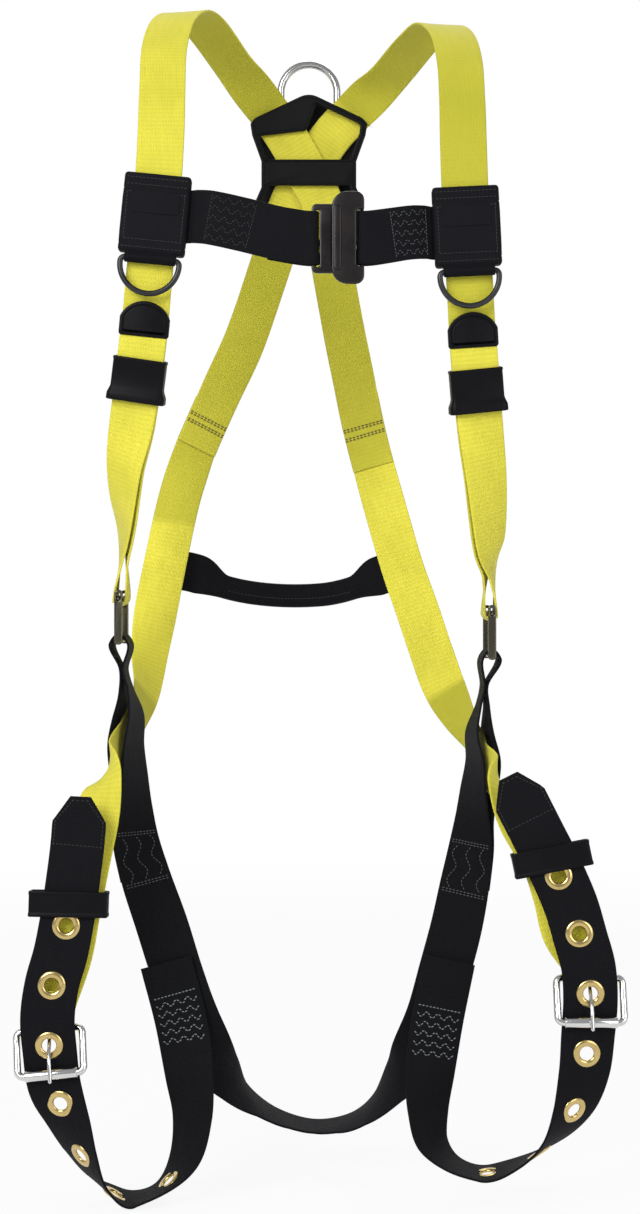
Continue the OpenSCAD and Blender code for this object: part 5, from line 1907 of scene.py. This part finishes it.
@dataclass
class SeatStrap(Sided):
    """Yellow webbing from the seam on the back to the leg buckle's rear bar.

    It is sewn on the other side's shoulder strap, with painted shade before a length and again at its fold.
    """

    buckle: LegBuckle
    bright_after: float
    fold_at: float = 7.0
    seam_at: tuple[float, float, float] = (24.4, 25.2, 26.0)

    def route(self) -> Route:
        """Joins the seam, the way round the seat and the turn round the buckle's bar.

        Returns:
            The whole route.
        """
        other = FRONT[Side.LEFT if self.side is Side.RIGHT else Side.RIGHT]
        leg, buckle = LEG[self.side], self.buckle
        near = buckle.rear_bar[1] - LOOP_R
        bend = [(0, LOOP_R, 0), (0, 0, -LOOP_R), (0, -LOOP_R, 0)]
        turn = [leg.lifted(buckle.at + 1.1, near + 2 * LOOP_R)]
        turn += [(buckle.frame.point(buckle.rear_bar + vec(*p)), buckle.frame.across) for p in bend]
        turn += [leg.lifted(buckle.at + k, near) for k in (1.1, 1.8)]
        return Route([*[other.lifted(k, LAY) for k in self.seam_at], *SEAT[self.side], *turn])

    def build(self) -> None:
        """Builds the webbing with the notch for the buckle's tongue."""
        ribbon = Ribbon(self.route(), MAIN_W)
        fold = [ribbon.length_at(self.fold_at + k) for k in (0.0, 0.25, 2.6, 3.6)]
        # Painted shade: dull on the first length, bright after it, dull again at the fold.
        fade = [0.0, self.bright_after - 4, self.bright_after + 4, *fold]

        def tone(s: float, _: Face) -> float:
            """Returns the painted shade after a length of strap, the same on both faces."""
            return float(np.interp(s, fade, [0.7, 0.65, 0.0, 0.0, 0.8, 0.6, 0.1]))

        web = new_object(self.named("seat_webbing"), ribbon.mesh(tone))
        eye, spot = self.buckle.eye_r, self.buckle.frame.moved(self.buckle.rear_bar)
        room = rectangle(self.buckle.tongue_w + 2, 4 * eye)
        notch = lofted([[spot.point((x, y, z)) for x, y in room] for z in (-eye - 2, eye + 2)])
        finished(cut(web, notch), YELLOW_WEB, self.named("seat_strap"))


@dataclass
class PelvicStrap(Sewn):
    """One length of black webbing from hip buckle to hip buckle under the seat, with its stitching.

    Each sewn end stands off the strap by ring_open at its points. box_at places the two stitch boxes.
    """

    ring_open: tuple[float, ...] = (0.0, LAY, 8.0, 16.0, 17.0, 13.0, 6.0, LAY, LAY)
    sewn_points: int = 8
    box_at: Flat = (7.5, 7.52)
    face_at: float = 10.5

    def route(self) -> Route:
        """Joins both thighs, their turns round the hip buckles' bars and their sewn ends.

        Returns:
            The whole route, from one sewn end to the other.
        """
        right, left = THIGH[Side.RIGHT], THIGH[Side.LEFT]
        sewn = range(self.sewn_points, 0, -1)
        first = [right.lifted(i, -self.ring_open[i]) for i in sewn]
        last = [left.lifted(i, self.ring_open[i]) for i in sewn][::-1]
        first_turn, last_turn = (
            [drop_side(side, 1), (hip_bar(side, -1) + vec(0, 0, LOOP_R), vec(0, 1, 0))] for side in Side
        )
        return Route([*first, *first_turn, *right.points, *left.points[::-1], *last_turn[::-1], *last])

    def build(self) -> None:
        """Builds the webbing and the stitch boxes on both thighs."""
        ribbon = Ribbon(self.route(), LEG_W)
        web = ribbon.mesh(even_tone(0.2, 0.3))
        piece("sub_pelvic_webbing", web, BLACK_WEB, "sub_pelvic_strap")
        count, before, half = len(ribbon.route.points) - 1, self.sewn_points + 2, LEG_W / 2 - 5
        for side, box_at in zip(Side, self.box_at):
            box, level = (
                ribbon.length_at(before + x if side is Side.RIGHT else count - before - x)
                for x in (box_at, self.face_at)
            )
            face = ribbon.face_at(level, -1)
            rows = [line_across(ribbon, box + d, half, face, 2.0) for d in (-26, -23.5, 23.5, 26)]
            spread = (-half + 5, 0, half - 5)
            rows += [wave_along(ribbon, box - 20, box + 20, x, face, 1.5, 3.2) for x in spread]
            self.stitches.sew(f"{side.value}_thigh_box_stitches", rows, DARK_THREAD, width=1.1)


@dataclass
class LegSeam(Sewn, Sided):
    """Thread that sews a leg strap on the sub-pelvic strap: wavy rows on the leg strap's front."""

    first: float
    last: float

    def build(self) -> None:
        """Sews the rows."""
        ribbon, half = Ribbon(LEG[self.side], LEG_W), LEG_W / 2 - 6
        face = ribbon.face_at(self.first, -1)
        rows = [line_across(ribbon, self.first, half, face)]
        lengths = np.linspace(self.first + 8, self.last, 5)
        rows += [wave_across(ribbon, s, half, face, 3.5, 2.4) for s in lengths]
        self.stitches.sew(self.named("thigh_stitches"), rows, GREY_THREAD, width=1.3)


@dataclass
class LumbarStrap(Sewn):
    """Black webbing across the back, folded into a narrow handle between its flat ends.

    The share of the fold is given at each route point. Below it the inner layer shows, as wide as lip.
    """

    flat_w: float = 42.0
    fold_w: float = 25.0
    fold_t: float = 6.0
    fold: tuple[float, ...] = (0, 0, 0, 1, 1, 1, 1, 0, 0, 0)
    lip: float = 6.0
    seam_in: float = 9.5

    def build(self) -> None:
        """Builds the webbing and the stitches along its fold."""
        ribbon = Ribbon(LUMBAR, self.flat_w)
        marks = [ribbon.length_at(k) for k in range(len(self.fold))]

        def section(s: float) -> list[Flat]:
            """Returns the section after a length of strap."""
            return self.folded(float(np.interp(s, marks, self.fold)))

        web = ribbon.mesh(even_tone(0.3, 0.3), section=section)
        piece("lumbar_webbing", web, BLACK_WEB, "lumbar_strap")
        a, b = marks[3] + 4, marks[6] - 4
        face, rise = ribbon.face_at((a + b) / 2, -1), (self.fold_t - WEB_T) / 2
        line = [ribbon.on(s, self.seam_in - self.fold_w / 2, face) for s in np.linspace(a, b, 60)]
        row = [(p + up * rise, up) for p, up in line]
        self.stitches.sew("lumbar_fold_stitches", [row], BLACK_THREAD, width=0.8)

    def folded(self, share: float) -> list[Flat]:
        """Makes a section that steps down along the fold's lower edge, where the inner layer shows.

        Args:
            share: how far the webbing is folded, from 0 to 1.

        Returns:
            The section.
        """
        u = share * share * (3 - 2 * share)
        w = self.flat_w + (self.fold_w - self.flat_w) * u
        t = WEB_T + (self.fold_t - WEB_T) * u
        edge = -w / 2 + self.lip
        return [
            (x, y - u * copysign(0.28 * t, y) if x < edge and abs(y) > 0.4 * t else y)
            for x, y in edge_section(w, t)
        ]


@dataclass
class HipBuckle(Sided):
    """Two rails joined by a lower bar, with a sliding bar between."""

    rail_t: float = 5.0
    rail_d: float = 8.0
    rail_in: float = 27.0
    rail_over: float = 5.0
    travel: float = 4.0
    pin_d: float = 3.6
    pin_room: float = 0.1
    bar_seat: float = 0.5

    def bar(self, up: float, half: float, d: float) -> Mesh:
        """Returns a round bar from front to back at the upper (up 1) or lower (up -1) bar's place."""
        path = [hip_bar(self.side, up) + vec(0, v, 0) for v in np.linspace(-half, half, 8)]
        return tube(path, d / 2, False)

    def build(self) -> None:
        """Builds the buckle and its sliding bar."""
        x, y, z = HIP[self.side]
        height, middle = HIP_BAR_GAP + self.travel + 2 * self.rail_over, self.travel / 2
        pin = self.pin_d + self.pin_room
        outlines = [
            fillet(rectangle(self.rail_d, height, 0, middle), 3.4),
            fillet(rectangle(pin, self.travel + pin, 0, HIP_BAR_GAP / 2 + middle), 1.8),
        ]
        out = self.rail_in + self.rail_t / 2
        parts = [plate(outlines, self.rail_t, 1.2, upright(x, y + s * out, z)) for s in (-1, 1)]
        frame = merged([*parts, self.bar(-1, self.rail_in + self.bar_seat, BAR_D)], 40)
        piece(self.named("hip_buckle_frame"), frame, DULL_ZINC, self.named("hip_buckle"))
        slide = merged([
            self.bar(1, self.rail_in - PART_GAP - BAR_D / 2, BAR_D),
            self.bar(1, self.rail_in + self.rail_t - self.pin_d / 2, self.pin_d),
        ])
        moving_piece(self.named("hip_sliding_bar"), slide, DULL_ZINC, self.named("hip_buckle_bar"))


@dataclass
class Studio:
    """Pale floor, white background, soft lights and the camera at the picture's place.

    Sizes are in metres, and the lens in millimetres. Each light has a name, a place, a power and a side.
    """

    camera_at: Place = (0.008, -1.920, -0.604)
    lens: float = 56.05
    sensor_h: float = 36.0
    aim: Place = (0.0, 0.0, -0.5)
    lights: tuple[tuple[str, Place, float, float], ...] = (
        ("Key light", (-1.5, -2.3, 0.7), 66.0, 1.6),
        ("Fill light", (1.9, -2.0, 0.0), 26.0, 1.8),
        ("Back light", (0.4, 1.3, 1.6), 16.0, 1.4))
    floor_z: float = -1.176
    floor_r: float = 5.0
    fade: Flat = (1.2, 2.4)
    sky: float = 0.42

    def build(self) -> None:
        """Builds the floor, the background, the lights and the camera."""
        self.build_floor()
        self.build_background()
        for name, place, power, side in self.lights:
            data = bpy.data.lights.new(name, "AREA")
            data.energy, data.size = power, side
            turn = (Vector(self.aim) - Vector(place)).to_track_quat("-Z", "Y").to_matrix().to_4x4()
            new_object(name, data).matrix_world = Matrix.Translation(place) @ turn
        data = bpy.data.cameras.new("Camera")
        data.sensor_fit, data.sensor_height, data.lens = "VERTICAL", self.sensor_h, self.lens
        camera = new_object("Camera", data)
        camera.matrix_world = Matrix.Translation(self.camera_at) @ Matrix.Rotation(pi / 2, 4, "X")
        bpy.context.scene.camera = camera
        bpy.context.scene.view_settings.view_transform = "Standard"

    def seen(self, tree: NodeTree, mirrored: object) -> Socket:
        """Tells rays that see the studio from rays that are lit by it.

        Args:
            tree: tree that the nodes are added to.
            mirrored: share for rays of a reflection.

        Returns:
            1 for rays of the camera or through glass, and the share for mirrored ones.
        """
        path = tree.add("ShaderNodeLightPath").outputs
        direct = tree.math("MAXIMUM", path["Is Camera Ray"], path["Is Transmission Ray"])
        return tree.math("MAXIMUM", direct, tree.math("MULTIPLY", path["Is Glossy Ray"], mirrored))

    def build_floor(self) -> None:
        """Builds the round floor of pale matt paper, which fades to white further out."""
        mat = bpy.data.materials.new("Studio paper")
        mat.use_nodes = True
        tree = NodeTree(mat.node_tree)
        skin, out = (mat.node_tree.nodes[n] for n in ("Principled BSDF", "Material Output"))
        grey = rgba((0.82, 0.82, 0.82))
        tree.fill(skin, {"Base Color": grey, "Roughness": 0.9, "Specular IOR Level": 0.1})
        place = tree.add("ShaderNodeTexCoord").outputs["Object"]
        flat = tree.out("ShaderNodeVectorMath", {0: place, 1: (1.0, 1.0, 0.0)}, operation="MULTIPLY")
        away = tree.add("ShaderNodeVectorMath", {0: flat}, operation="LENGTH").outputs["Value"]
        share = tree.math("MULTIPLY", self.seen(tree, 1.0), tree.span(away, 0.9, 1.0, *self.fade))
        glow = tree.out("ShaderNodeEmission", {"Color": WHITE, "Strength": 1.0})
        both = tree.out("ShaderNodeMixShader", {0: share, 1: skin.outputs[0], 2: glow})
        tree.fill(out, {"Surface": both})
        points = [vec(x, y, self.floor_z / MM) for x, y in circle(self.floor_r / MM, 96)]
        floor = new_object("studio_floor", new_mesh(points, [range(len(points))]))
        floor.data.materials.append(mat)

    def build_background(self) -> None:
        """Builds an even dim sky, which the camera sees as white, and reflections too on the far side."""
        world = bpy.data.worlds.new("Studio")
        world.use_nodes = True
        tree = NodeTree(world.node_tree)
        light, out = (world.node_tree.nodes[n] for n in ("Background", "World Output"))
        tree.fill(light, {"Color": rgba((0.95, 0.97, 1.0)), "Strength": self.sky})
        way = tree.add("ShaderNodeTexCoord").outputs["Object"]
        forward = tree.add("ShaderNodeSeparateXYZ", {0: way}).outputs[1]
        share = self.seen(tree, tree.span(forward, 0.0, 1.0, 0.3, 0.7))
        white = tree.out("ShaderNodeBackground", {"Color": WHITE, "Strength": 1.0})
        both = tree.out("ShaderNodeMixShader", {0: share, 1: light.outputs[0], 2: white})
        tree.fill(out, {"Surface": both})
        bpy.context.scene.world = world


def main() -> None:
    """Builds the harness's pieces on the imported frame, and the studio round them."""
    logging.basicConfig(level=logging.INFO, format="%(name)s: %(message)s")
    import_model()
    Studio().build()
    stitches, grommets = StitchTree(), GrommetTree()
    seams = {Side.RIGHT: (25.12, 25.31), Side.LEFT: (24.82, 25.0)}
    for side in Side:
        ShoulderStrap(side, stitches, seams[side]).build()
        ChestCover(side, stitches).build()
        HipBuckle(side).build()
    ChestJoin(stitches).build()
    DorsalPad(stitches).build()
    PelvicStrap(stitches).build()
    LumbarStrap(stitches).build()
    # Places of buckle and keeper, the keeper's turn, the seat strap's length of painted shade, the seam's
    # lengths.
    legs = {
        Side.RIGHT: (11, 15.36, -7.0, 138.0, (32.0, 76.0)),
        Side.LEFT: (12, 16.27, 15.0, 62.0, (48.0, 92.0)),
    }
    for side, (buckle_at, keeper_at, turn, bright_after, seam) in legs.items():
        buckle = LegStrap(side, stitches, grommets, buckle_at, keeper_at, turn).build()
        SeatStrap(side, buckle, bright_after).build()
        LegSeam(side, stitches, *seam).build()


if __name__ == "__main__":
    main()
